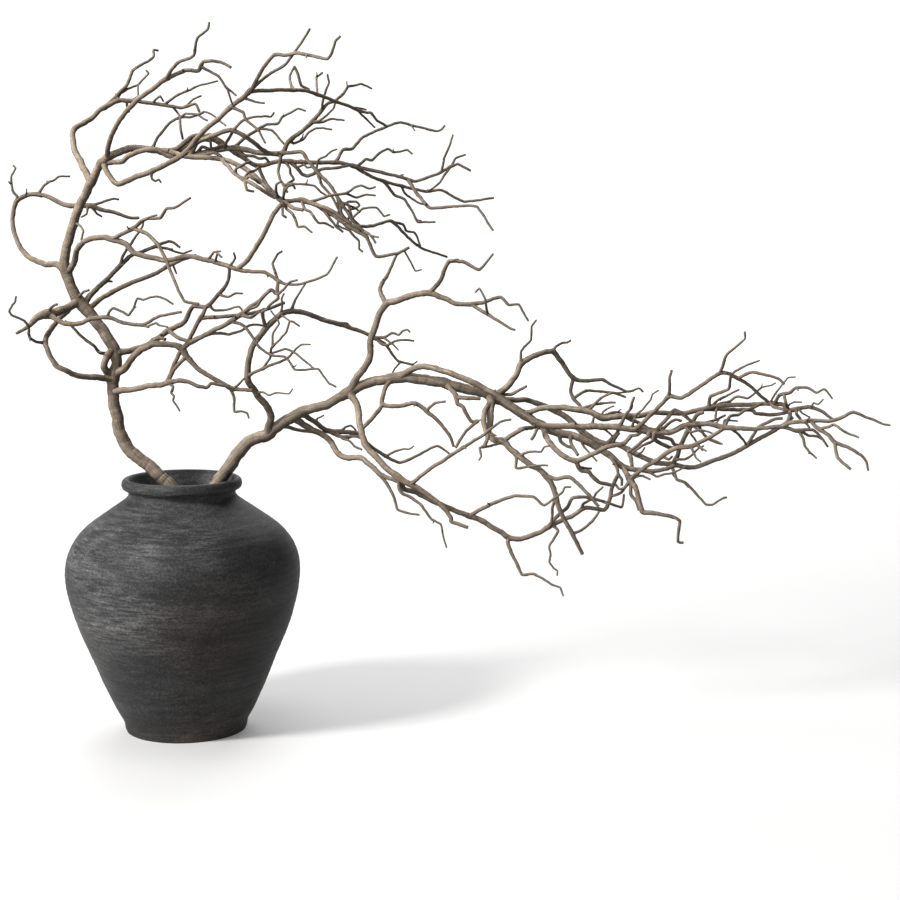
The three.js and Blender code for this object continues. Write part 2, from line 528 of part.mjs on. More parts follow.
// The outside of the vase from the middle of its underside to the crest of the rolled lip.
function outerProfile() {
    return [
        [0, 0],
        [FOOT_RADIUS - 3, 0],
        [FOOT_RADIUS, 3],
        [FOOT_RADIUS + 1, 13],
        [FOOT_RADIUS + 9, 27],
        [FOOT_RADIUS + 20, 50],
        [FOOT_RADIUS + 41, 100],
        [BELLY_RADIUS - 17, 150],
        [BELLY_RADIUS - 8, 180],
        [BELLY_RADIUS - 2, BELLY_HEIGHT - 23],
        [BELLY_RADIUS, BELLY_HEIGHT],
        [BELLY_RADIUS - 3, BELLY_HEIGHT + 21],
        [BELLY_RADIUS - 12, BELLY_HEIGHT + 42],
        [BELLY_RADIUS - 29, BELLY_HEIGHT + 62],
        [BELLY_RADIUS - 56, BELLY_HEIGHT + 82],
        [NECK_RADIUS + 11, NECK_HEIGHT - 11],
        [NECK_RADIUS, NECK_HEIGHT],
        [NECK_RADIUS + 0.5, VASE_HEIGHT - 17],
        [LIP_RADIUS - 2, VASE_HEIGHT - 15],
        [LIP_RADIUS, VASE_HEIGHT - 9],
        [LIP_RADIUS - 1.5, VASE_HEIGHT - 2.5],
        [LIP_RADIUS - 6, VASE_HEIGHT],
    ];
}

// The inside, from the lip's crest down to the middle of the floor.
function innerProfile() {
    return [
        [LIP_RADIUS - 10, VASE_HEIGHT - 4],
        [NECK_RADIUS - WALL, VASE_HEIGHT - 16],
        [NECK_RADIUS - WALL, NECK_HEIGHT - 5],
        [BELLY_RADIUS - 58 - WALL, BELLY_HEIGHT + 72],
        [BELLY_RADIUS - 14 - WALL, BELLY_HEIGHT + 33],
        [BELLY_RADIUS - WALL, BELLY_HEIGHT],
        [BELLY_RADIUS - 10 - WALL, 172],
        [FOOT_RADIUS + 41 - WALL, 100],
        [FOOT_RADIUS + 6 - WALL, 26],
        [FOOT_RADIUS - 6 - WALL, FLOOR],
        [0, FLOOR],
    ];
}

function vaseMesh() {
    const profile = [...outerProfile(), ...innerProfile()].map(([radius, height]) => {
        return new THREE.Vector2(radius, height);
    });
    const turned = new THREE.LatheGeometry(profile, VASE_SEGMENTS);
    turned.deleteAttribute('normal');
    turned.deleteAttribute('uv');
    turned.rotateX(Math.PI / 2);
    const closed = mergeVertices(turned, 0.001);
    const solid = solidOf(closed.attributes.position.array, closed.index.array);
    const clay = new THREE.MeshStandardMaterial({ color: CHARCOAL, roughness: 0.6, metalness: 0 });
    const mesh = new THREE.Mesh(geometryOf(solid), clay);
    mesh.name = 'vase';
    return mesh;
}

// ---------------------------------------------------------------- the whole object

const branchesInVase = new THREE.Group();
branchesInVase.add(vaseMesh(), ...branchMeshes());

export default branchesInVase;
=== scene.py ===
"""Two bare, twisted tree branches in a dark hand-thrown vase: the finished look, in Blender 4.5.

Lengths are metres in Blender, and millimetres in the lists of limbs, which MM turns into metres.
Each branch is split at its main forks, as the construction model is, and each stretch of it is one
mesh: knotty tubes with lengthwise ridges, a collar where each limb leaves the one it grew from, and
the fine side twigs that the construction model leaves out.
"""

import json
import math
import random

import bpy
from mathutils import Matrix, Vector, noise

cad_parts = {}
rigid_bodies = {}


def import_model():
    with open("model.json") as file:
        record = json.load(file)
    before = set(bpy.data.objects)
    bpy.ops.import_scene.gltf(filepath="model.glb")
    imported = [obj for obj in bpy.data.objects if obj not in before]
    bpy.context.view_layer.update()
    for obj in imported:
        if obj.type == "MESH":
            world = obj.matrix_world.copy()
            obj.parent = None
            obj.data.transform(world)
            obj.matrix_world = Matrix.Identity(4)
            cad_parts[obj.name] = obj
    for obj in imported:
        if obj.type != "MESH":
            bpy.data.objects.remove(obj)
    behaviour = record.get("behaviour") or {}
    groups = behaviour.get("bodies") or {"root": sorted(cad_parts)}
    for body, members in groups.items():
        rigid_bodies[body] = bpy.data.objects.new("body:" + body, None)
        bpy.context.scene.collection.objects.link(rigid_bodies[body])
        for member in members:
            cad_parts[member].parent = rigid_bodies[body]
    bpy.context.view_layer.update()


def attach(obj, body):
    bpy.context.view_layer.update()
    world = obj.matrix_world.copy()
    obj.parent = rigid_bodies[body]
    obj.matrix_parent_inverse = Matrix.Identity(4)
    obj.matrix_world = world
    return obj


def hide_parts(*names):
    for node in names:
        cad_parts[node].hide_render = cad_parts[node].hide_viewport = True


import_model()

MM = 0.001

# ---------------------------------------------------------------- limbs

# The routes are drawn on the plane y = 0, as the front view from this point shows them.  A limb's
# depth moves its points along the lines of sight, so the front view stays the same.
FRONT_VIEW_POINT = Vector((376, -2576, 749))
DEPTH_SPREAD = 2            # how far the limbs' depths fan out, against the listed values

# Each limb: name, the limb it grows from, radii and depths at even steps along it, and its route as
# x, z pairs, all in millimetres.  The depth at its start is its parent's.
LIMBS = {
    "left_trunk": [
        ["trunk", "", [10.2, 10.2, 10.2, 10, 10, 9.8, 9.7, 9.3, 8.3, 6.6, 7.5, 7.3, 7, 6.6, 5.8,
         4.8, 4.1], [-25, -24, -19, -13, 0, 4, 2, 0, -8], [52, 4, 54, 60, 52, 130, 44, 205, 28,
         270, 6, 318, -19, 350, -40, 371, -73, 400, -84, 420, -87, 440, -93, 470, -93, 500, -87,
         519, -92, 540, -104, 564, -118, 583, -143, 615, -155, 650, -154, 670, -140, 721, -106,
         789, -98, 797, -86, 807, -55, 816, -8, 810]],
        ["trunk_eye", "trunk", [5, 4.8, 5], [-4, -5, 0], [-94, 503, -101, 507, -105, 517, -101,
         528, -93, 538]],
        ["second_arch", "trunk", [3.6, 3.6, 3.2], [-6, -9, -8], [-96, 793, -75, 797, -64, 805, -41,
         814, -26, 813, -13, 806, 0, 801]],
    ],
    "left_big_loop": [
        ["big_loop", "trunk", [4.5, 4, 3.2, 3.1, 3.2, 3.6, 2.9, 2], [10, 22, 32, 36, 34, 26, 30,
         34], [-155, 650, -168, 657, -185, 658, -205, 667, -221, 689, -226, 718, -220, 743, -204,
         752, -180, 751, -159, 741, -148, 738, -118, 737, -107, 733, -82, 727, -63, 721, -52,
         721]],
    ],
    "left_low_loop": [
        ["low_loop", "trunk", [4.9, 4.2, 3.8, 3.6, 2.9], [-12, -22, -20, 0, 18], [-93, 497, -109,
         500, -133, 502, -147, 504, -160, 510, -173, 519, -185, 544, -184, 557, -170, 577, -158,
         588, -146, 600]],
    ],
    "left_burl_limb": [
        ["burl", "trunk", [5.5, 5.6, 6.6, 6.8, 4.7, 2.6, 2], [-8, -14, -20, -24], [-140, 606, -154,
         597, -163, 593, -175, 590, -186, 588, -195, 584, -208, 572, -226, 562]],
        ["cross_limb", "burl", [3.4, 3.2, 2.9, 2.5, 2.1, 1.8], [-22, -26, -28, -35, -40], [-180,
         588, -163, 577, -148, 575, -134, 577, -121, 582, -99, 585, -76, 576, -50, 573, -27, 586,
         4, 591]],
    ],
    "left_hook_limb": [
        ["hook", "trunk", [4.4, 4, 3.8, 3.6, 3.3, 2.4, 1.8, 1.5], [-16, -26, -30, -36, -44, -52,
         -56, -50], [-152, 647, -144, 658, -138, 678, -121, 692, -98, 693, -73, 686, -57, 672, -32,
         666, -13, 662, 13, 668, 42, 663, 89, 649, 119, 647, 148, 630, 175, 631, 205, 643, 221,
         668]],
        ["hook_up", "hook", [2.9, 2.7, 2.1, 1.6], [-40, -52, -60], [-90, 693, -58, 708, -42, 720,
         -23, 721, -14, 733, -2, 735, 12, 743, 20, 748]],
        ["hook_fork", "hook_up", [2.9, 2.6, 2.1, 1.8], [-52, -64, -72], [-61, 708, -41, 699, -26,
         683, -13, 656, -1, 624, 9, 606, 28, 602]],
        ["hook_hanger", "hook", [3.4, 3.3, 3.2], [-52, -58, -60, -62], [82, 652, 100, 667, 122,
         703, 133, 727, 144, 739]],
    ],
    "left_back_diagonal": [
        ["back_diagonal", "trunk", [4.1, 3.6, 3.1, 2.5, 1.8], [16, 26, 32, 36], [-134, 600, -111,
         626, -92, 642, -67, 668, -44, 676, -12, 689, 4, 680]],
    ],
    "left_front_diagonal": [
        ["front_diagonal", "trunk", [3.6, 3.4, 3.1, 2.7, 2.2], [12, 12, 8, 6], [-126, 594, -109,
         608, -88, 621, -67, 631, -38, 641, -14, 654, 7, 664, 26, 670]],
    ],
    "left_low_limb_1": [
        ["low_1", "trunk", [4.4, 4.2, 4, 3.6, 3.2, 2.9, 2.5, 2.3], [6, 10, 8, 0, -5, -8], [-91,
         534, -66, 539, -38, 549, -17, 564, 7, 577, 20, 599, 39, 599, 56, 616, 70, 635, 71, 652]],
    ],
    "left_low_limb_2": [
        ["low_2", "trunk", [5.5, 4.5, 4, 3.6, 3.1, 2.5], [-8, -12, -14, -16, -20], [-92, 505, -77,
         514, -59, 534, -33, 547, -8, 545, 5, 539, 11, 529, 27, 511, 51, 497, 72, 485, 94, 483,
         101, 482]],
        ["low_2_drop", "low_2", [3.2, 3], [-14, -12], [3, 539, -7, 521, -12, 507, -20, 493]],
        ["low_2_fork", "low_2", [3.1, 2.9, 2.7], [-18, -20, -20], [5, 539, 15, 556, 31, 584, 38,
         598]],
        ["dark_arm", "low_2_fork", [3.1, 2.7, 2.3, 2], [-20, -12, -4], [31, 581, 58, 585, 88, 587,
         109, 591, 147, 604]],
        ["low_2_arm", "low_2", [3.6, 3.2, 2.9, 2.2], [-28, -34, -36, -36], [6, 543, 23, 553, 55,
         569, 85, 587, 109, 605, 128, 622, 136, 616]],
    ],
    "left_low_limb_3": [
        ["low_3", "trunk", [4.1, 4.1, 3.9, 3, 2.4, 2.2], [-14, -22, -24, -22], [-92, 481, -66, 484,
         -47, 488, -28, 490, -16, 493, 0, 497, 12, 494, 25, 488, 37, 486, 44, 493, 55, 490, 68,
         487]],
    ],
    "left_crown_limb_1": [
        ["crown_1", "trunk", [4.9, 4.5, 4, 3.6, 3.1, 2.7, 2.2, 1.8], [14, 28, 38, 44, 48, 50, 48],
         [-117, 770, -129, 794, -140, 821, -138, 841, -115, 855, -96, 871, -71, 880, -29, 876, 9,
         870, 29, 875, 34, 864]],
        ["crown_1_tip", "crown_1", [2.9, 2.5, 2.1, 1.7], [52, 62, 70], [-96, 871, -81, 884, -65,
         900, -55, 920, -28, 937, -27, 948, -20, 947]],
    ],
    "left_crown_limb_2": [
        ["crown_2", "trunk", [3.6, 3.3, 3.2, 2.9, 2.5, 1.9], [-16, -26, -36, -44, -52, -58], [-92,
         801, -91, 819, -86, 835, -71, 860, -50, 881, -35, 891, -14, 907, 15, 920, 34, 920, 41,
         932, 65, 931, 78, 924]],
        ["crown_2_tip", "crown_2", [2.7, 2.1, 1.6], [-58, -66, -70], [-10, 906, -4, 920, 8, 932,
         27, 940, 33, 964, 47, 975, 49, 984]],
    ],
    "left_top_limb": [
        ["top", "trunk", [4, 3.6, 3.4, 3.4, 3.2, 3.1, 2.9], [-15, -24, -27, -29, -32, -36], [-99,
         795, -93, 781, -80, 767, -56, 776, -22, 789, 13, 810, 42, 841, 72, 866, 106, 895]],
        ["top_left_fork", "top", [2.9, 2.5, 2.1, 1.6], [-50, -66, -80], [106, 895, 119, 919, 136,
         941, 153, 940, 170, 943, 209, 935, 218, 950, 221, 960, 227, 966]],
        ["top_mid_fork", "top", [2.4, 2, 1.6], [-38, -38, -42], [104, 894, 125, 912, 150, 926, 161,
         939, 180, 966, 186, 976]],
        ["top_right_fork", "top", [2.9, 2.7, 2.5, 2.1, 1.7], [-24, -10, 4, 16], [102, 892, 143,
         894, 179, 893, 208, 883, 243, 870, 262, 863, 268, 863, 277, 852, 291, 845]],
    ],
    "left_long_limb": [
        ["long", "trunk", [4, 3.6, 3.4, 3.2, 3.1, 2.9, 2.3, 2, 1.7], [6, 16, 24, 28, 32, 36, 40,
         42, 44], [-12, 811, 2, 815, 27, 832, 50, 828, 90, 804, 113, 791, 143, 798, 189, 796, 221,
         796, 249, 790, 299, 779, 328, 771, 358, 780, 386, 794, 404, 785]],
        ["long_drop", "long", [2.7, 2.1, 1.6], [30, 20, 14], [318, 773, 333, 751, 349, 734, 389,
         737, 413, 736, 436, 703]],
        ["long_low", "long", [2.7, 2.2, 1.7], [50, 56, 58], [244, 791, 269, 776, 304, 766, 343,
         757, 364, 759, 395, 743, 436, 748]],
        ["long_high", "long", [2.6, 2.1, 1.6], [50, 60, 66], [219, 796, 230, 813, 242, 815, 256,
         830, 273, 838, 291, 845, 309, 850, 359, 838, 369, 846]],
    ],
    "left_tangle_limb": [
        ["tangle", "trunk", [4, 3.9, 3.8, 3.6, 3.1, 2.7, 2], [0, -2, -2, 0, 4, 6], [-10, 809, 16,
         805, 50, 812, 84, 816, 109, 810, 145, 808, 156, 825, 185, 848, 209, 876, 218, 879]],
        ["tangle_fall", "tangle", [2.7, 2.4, 2], [-10, -14, -14], [145, 808, 171, 811, 181, 799,
         194, 783, 211, 766, 222, 748, 234, 729, 250, 706]],
        ["tangle_arch", "tangle", [3.2, 3.2, 3], [-12, -14, -12, -2], [22, 806, 29, 823, 53, 833,
         76, 840, 99, 829, 122, 811, 132, 808]],
    ],
    "left_tangle_low": [
        ["tangle_low", "trunk", [3.6, 3.4, 3.2, 3.1, 2.9, 2.7, 2.5, 2.3, 2], [-15, -20, -32, -42,
         -46, -50, -52, -52, -50], [-8, 808, 21, 804, 63, 801, 92, 790, 115, 771, 146, 744, 172,
         745, 201, 734, 239, 708, 261, 694, 274, 668, 307, 674, 320, 680]],
        ["tangle_low_2", "tangle_low", [2.7, 2.7, 2.5], [-44, -58, -54], [63, 801, 81, 781, 109,
         765, 136, 748]],
        ["tangle_low_tip", "tangle_low", [2.5, 2, 1.6], [-40, -30, -20, -10], [240, 707, 269, 710,
         294, 717, 316, 696, 335, 680, 354, 673, 372, 667]],
    ],
    "right_stem": [
        ["stem", "", [9.8, 9.8, 9.8, 9.8, 9.6, 9.4, 8.9, 7.5, 6.1, 6.9, 7.5, 7.1, 6.5, 5.9, 5, 3.8,
         2.6], [25, 24, 18, 6, 0, 0, 2, 0, 0], [-50, 19, -50, 45, -44, 90, -34, 150, -18, 215, 4,
         275, 30, 322, 49, 351, 63, 371, 79, 394, 97, 412, 119, 419, 141, 436, 171, 453, 205, 463,
         237, 481, 270, 495, 310, 500, 350, 496, 400, 484, 430, 477, 471, 453, 500, 435, 526, 423,
         550, 418, 575, 406, 600, 391, 620, 374, 652, 369, 675, 370, 690, 377]],
    ],
    "right_inner_limb": [
        ["inner", "stem", [5.3, 4.9, 4.5, 4.3, 4.2, 3.8, 3.4, 3, 2.6, 2.1, 1.4], [-8, -16, -20,
         -18, -10, 0, 8, 14, 17, 17], [122, 422, 124, 453, 106, 479, 94, 500, 99, 536, 118, 566,
         143, 589, 169, 592, 199, 581, 233, 571, 256, 563, 284, 548, 304, 523, 325, 518]],
        ["inner_fork", "inner", [2.5, 2.1, 1.3], [-32, -40, -44], [96, 502, 115, 513, 129, 518,
         150, 527, 169, 546, 182, 547]],
    ],
    "right_upright_limb": [
        ["upright", "stem", [5.9, 5.1, 4.7, 4.3, 4.2, 4, 3.6, 3, 2.5, 1.9, 1.4], [-4, -6, -8, -12,
         -18, -24, -28, -30, -32, -32], [234, 478, 247, 501, 263, 524, 267, 556, 278, 588, 287,
         602, 299, 606, 329, 615, 347, 618, 370, 610, 382, 603, 420, 604, 445, 612, 457, 601, 471,
         602, 484, 580]],
        ["upright_left", "upright", [3.4, 2.8, 2.1, 1.3], [-2, 8, 16, 20], [287, 602, 279, 624,
         291, 645, 302, 670, 319, 680]],
        ["upright_top", "upright", [3.2, 2.8, 2.3, 1.4], [-28, -34, -38, -36], [348, 618, 364, 637,
         374, 661, 394, 661, 417, 650, 435, 671]],
        ["upright_low", "upright", [2.8, 2.3, 1.5], [-32, -38, -40], [405, 603, 426, 590, 441, 580,
         461, 568, 466, 566]],
    ],
    "right_light_limb": [
        ["light", "stem", [4.3, 4.2, 4.1, 4.1, 4.2, 4.3, 4.3, 4.2, 3.8, 3.4, 3, 2.5, 1.5], [-15,
         -19, -19, -18, -16, -14, -14, -18, -24, -28, -30, -32], [306, 499, 317, 508, 340, 516,
         383, 504, 430, 482, 461, 459, 489, 441, 511, 433, 549, 432, 601, 431, 651, 426, 680, 423,
         695, 429, 710, 434, 735, 436, 759, 431, 798, 428, 842, 431, 860, 425, 885, 427, 905,
         403]],
    ],
    "right_long_strand": [
        ["far", "stem", [4, 4, 4.7, 4.5, 4, 3.6, 3.4, 3.2, 3.2, 3, 2.5], [12, 20, 22, 22, 20, 20,
         18, 16, 14, 12], [446, 467, 464, 469, 490, 467, 522, 454, 541, 442, 565, 422, 590, 408,
         614, 405, 638, 392, 663, 381, 685, 378, 719, 374, 745, 384, 771, 393, 791, 405, 824, 423,
         842, 434, 855, 445]],
        ["far_riser", "far", [3.4, 3.4, 3.2, 2.6], [14, 8, 4, 0, -2], [688, 378, 694, 390, 700,
         408, 708, 424, 720, 447, 730, 452]],
        ["far_tail", "far", [2.5, 2.2, 1.8, 1.5], [12, 2, -4], [686, 378, 694, 357, 706, 352, 727,
         331, 735, 321, 745, 321, 758, 329, 765, 331]],
        ["far_arch", "far", [2.6, 2.6, 2.3], [10, 6, 4], [793, 406, 807, 431, 827, 441, 840, 443]],
    ],
    "right_top_strand": [
        ["high", "stem", [3.4, 4.3, 4.5, 4.3, 3.8, 3.4, 3.4, 3.4, 3.4, 3.4, 3, 2.6, 1.9], [-5, -6,
         -8, -6, 0, 6, 10, 12, 10, 6, 4], [480, 448, 506, 458, 536, 458, 571, 452, 590, 443, 612,
         446, 640, 447, 659, 451, 684, 450, 708, 451, 737, 458, 767, 462, 799, 462, 822, 464, 841,
         462, 850, 454, 877, 459, 893, 454, 912, 441]],
        ["high_twin", "high", [2.8, 2.8, 2.5], [18, 22, 20, 16], [725, 455, 751, 456, 796, 455,
         803, 450, 824, 448, 842, 450, 850, 453]],
        ["high_hook", "high", [2.6, 2.2, 1.4], [2, -8, -12], [738, 457, 739, 474, 764, 484, 768,
         504, 782, 515, 806, 524]],
        ["high_tip", "high", [2.6, 2.1, 1.3], [-4, -10, -14], [828, 464, 836, 476, 850, 479, 857,
         485, 874, 486, 887, 479, 898, 484, 909, 471]],
    ],
    "right_upper_limb": [
        ["upper", "light", [3.2, 3.1, 2.9, 2.7, 2.5, 2.3], [-26, -36, -40, -40, -40, -36, -30],
         [634, 428, 652, 443, 669, 461, 682, 474, 698, 472, 723, 487, 751, 507, 765, 505, 787, 493,
         820, 466]],
        ["upper_spire", "upper", [2.5, 2, 1.4], [-46, -52, -56], [751, 507, 761, 533, 775, 544,
         785, 554, 785, 563]],
        ["upper_arch", "upper", [2.5, 2.2, 1.8], [-44, -48, -50], [776, 499, 798, 508, 833, 499,
         842, 490]],
    ],
    "right_rise_limb": [
        ["rise", "stem", [4.9, 4.5, 4.2, 3.8, 3.6, 3, 2.5, 1.9, 1.5], [8, 14, 20, 26, 30, 34, 36,
         38], [436, 473, 454, 486, 466, 501, 475, 519, 491, 530, 518, 537, 533, 519, 547, 499, 561,
         495, 588, 497, 604, 489, 623, 480, 639, 485, 645, 480]],
        ["rise_drop", "rise", [3, 2.6, 2.3], [32, 30, 28], [547, 499, 544, 481, 548, 470, 555, 463,
         561, 456]],
        ["rise_link", "rise_drop", [2.5, 2.1, 1.7], [34, 38, 38], [548, 470, 565, 482, 587, 481,
         604, 478, 621, 473]],
        ["rise_spire", "rise", [2.3, 1.8, 1.3], [14, 10], [475, 519, 475, 536, 488, 553, 489, 572,
         495, 580]],
    ],
    "right_drop_limb": [
        ["drop", "stem", [5.3, 4.9, 4.7, 4.3, 4.2, 4, 3.8, 3.4, 3, 2.8, 2.5], [-14, -22, -26, -28,
         -29, -30, -30, -28], [432, 474, 432, 440, 429, 425, 437, 413, 451, 410, 462, 399, 487,
         378, 500, 372, 511, 361, 520, 346, 530, 314, 544, 287, 556, 263, 563, 250]],
        ["drop_twin", "drop", [3.8, 3.8, 2.6], [-18, -28, -32], [429, 466, 424, 453, 423, 438, 428,
         416, 424, 403]],
        ["drop_arm", "drop", [3.4, 3.2, 2.8], [-26, -20, -12], [451, 411, 475, 427, 488, 430, 497,
         432]],
        ["drop_fork", "drop", [3, 2.6, 2.1], [-34, -38, -40], [511, 361, 524, 358, 544, 359, 568,
         338, 585, 318]],
    ],
    "right_low_limb": [
        ["low", "stem", [4.9, 4.7, 4.5, 4.3, 4.2, 4, 3.6, 3.4, 2.8, 2.3], [-16, -26, -32, -36, -38,
         -38, -40, -42], [238, 478, 247, 459, 250, 433, 259, 405, 281, 379, 309, 356, 339, 339,
         363, 320, 377, 303, 379, 296, 401, 288]],
        ["low_short", "low", [2.5, 2.1, 1.5], [-20, -14, -14], [257, 410, 280, 393, 306, 381, 330,
         391, 358, 404, 379, 391]],
    ],
    "right_dark_limb": [
        ["dark", "low", [3.6, 3.4, 3.4, 3.6, 3.6, 3.4, 3.4, 3.2, 3, 3, 2.8], [-26, -24, -20, -18,
         -17, -16, -14, -12, -10, -4, 6], [303, 361, 312, 343, 330, 337, 354, 325, 385, 311, 415,
         301, 445, 284, 458, 274, 476, 272, 502, 281, 522, 294, 546, 304, 568, 317, 593, 313, 601,
         330, 602, 342, 608, 356, 613, 364]],
        ["dark_tail", "dark", [3, 2.3, 1.8, 1.3], [-22, -28, -34], [458, 274, 458, 262, 471, 235,
         478, 221, 495, 222, 521, 206, 532, 202, 536, 191]],
        ["dark_arch", "dark", [2.8, 2.5, 2.1, 1.7], [-22, -24, -20, -14, -10], [514, 288, 528, 306,
         541, 318, 549, 330, 563, 332, 589, 326, 617, 317, 620, 336]],
        ["dark_rise", "dark", [3, 2.5, 1.9, 1.4], [-24, -32, -40, -46, -48], [404, 305, 415, 312,
         439, 324, 465, 333, 494, 332, 508, 320, 532, 337, 537, 345, 545, 346]],
    ],
    "right_under_limb": [
        ["under", "stem", [4.7, 4.3, 4.2, 4, 3.4, 2.8], [10, 13, 8, -4, -12, -16], [158, 443, 175,
         433, 205, 415, 220, 393, 233, 387, 252, 387, 274, 368, 283, 361, 296, 357, 304, 354]],
        ["under_tail", "under", [2.5, 2, 1.4], [-16, -20], [279, 364, 296, 336, 302, 315, 314, 310,
         332, 306]],
    ],
    "right_under_arm": [
        ["arm", "stem", [3.8, 3.4, 3.4, 2.8], [11, 16, 18, 19], [168, 450, 186, 439, 204, 426, 225,
         424, 243, 423, 253, 420]],
    ],
    "right_link_limb": [
        ["link", "stem", [3.2, 3, 3, 2.8, 2.5, 1.9], [-14, -20, -22, -24, -24], [298, 494, 284,
         483, 282, 463, 302, 460, 328, 464, 353, 446, 375, 420, 381, 403]],
        ["link_left", "link", [3, 3, 2.8], [-22, -21], [282, 463, 270, 446, 259, 435, 253, 428]],
    ],
    "right_cross_strand": [
        ["cross_strand", "low", [2.8, 2.6, 2.5, 2.1, 1.5], [-46, -50, -52, -52], [320, 350, 350,
         373, 385, 396, 420, 418, 446, 438, 462, 442]],
    ],
    "right_dangle_limb": [
        ["dangle", "stem", [3.4, 3.2, 2.6, 2.3, 2], [-10, -14, -15, -20, -26], [369, 489, 384, 476,
         386, 464, 394, 459, 405, 439, 414, 438, 398, 424, 384, 402]],
        ["dangle_side", "dangle", [3.2, 3, 2.5], [-12, -12], [385, 473, 401, 471, 418, 471]],
    ],
    "right_hanging_loop": [
        ["loop", "stem", [4.2, 4, 3.8, 3.4, 3.2, 2.8], [-16, -24, -27, -26, -24, -24], [506, 432,
         513, 412, 529, 394, 553, 383, 572, 391, 594, 402, 619, 407, 628, 418]],
        ["loop_tail", "loop", [3, 2.8, 2.5], [-24, -22, -18], [553, 383, 559, 369, 570, 367, 585,
         353, 594, 351, 605, 349]],
    ],
    "right_hub_limb": [
        ["hub", "stem", [3.8, 3.8, 3.6, 3.4, 2.3, 2.1, 1.7], [-12, -19, -22, -24, -24, -22], [618,
         376, 628, 358, 636, 346, 645, 316, 649, 310, 676, 307, 693, 302, 699, 298, 698, 286, 697,
         268, 705, 266]],
        ["hub_riser", "hub", [3, 3.2, 3.2, 2.8, 2.5], [-26, -34, -36, -38, -38], [629, 357, 644,
         370, 667, 385, 690, 401, 718, 405, 745, 420, 757, 428]],
    ],
    "right_tip_limb": [
        ["tip", "light", [3, 2.8, 2.6, 2.5, 1.9, 1.4], [-40, -46, -48, -50], [840, 431, 853, 437,
         885, 440, 905, 439, 921, 443, 939, 452, 958, 445, 980, 435, 990, 433]],
        ["tip_low", "tip", [2.8, 2.6, 2.3, 1.5], [-50, -56, -58], [880, 440, 887, 432, 904, 420,
         914, 409, 934, 401, 951, 391, 959, 382, 962, 369]],
        ["tip_fork", "tip_low", [2.5, 2.2, 1.8], [-62, -66], [914, 409, 918, 389, 938, 371]],
    ],
}

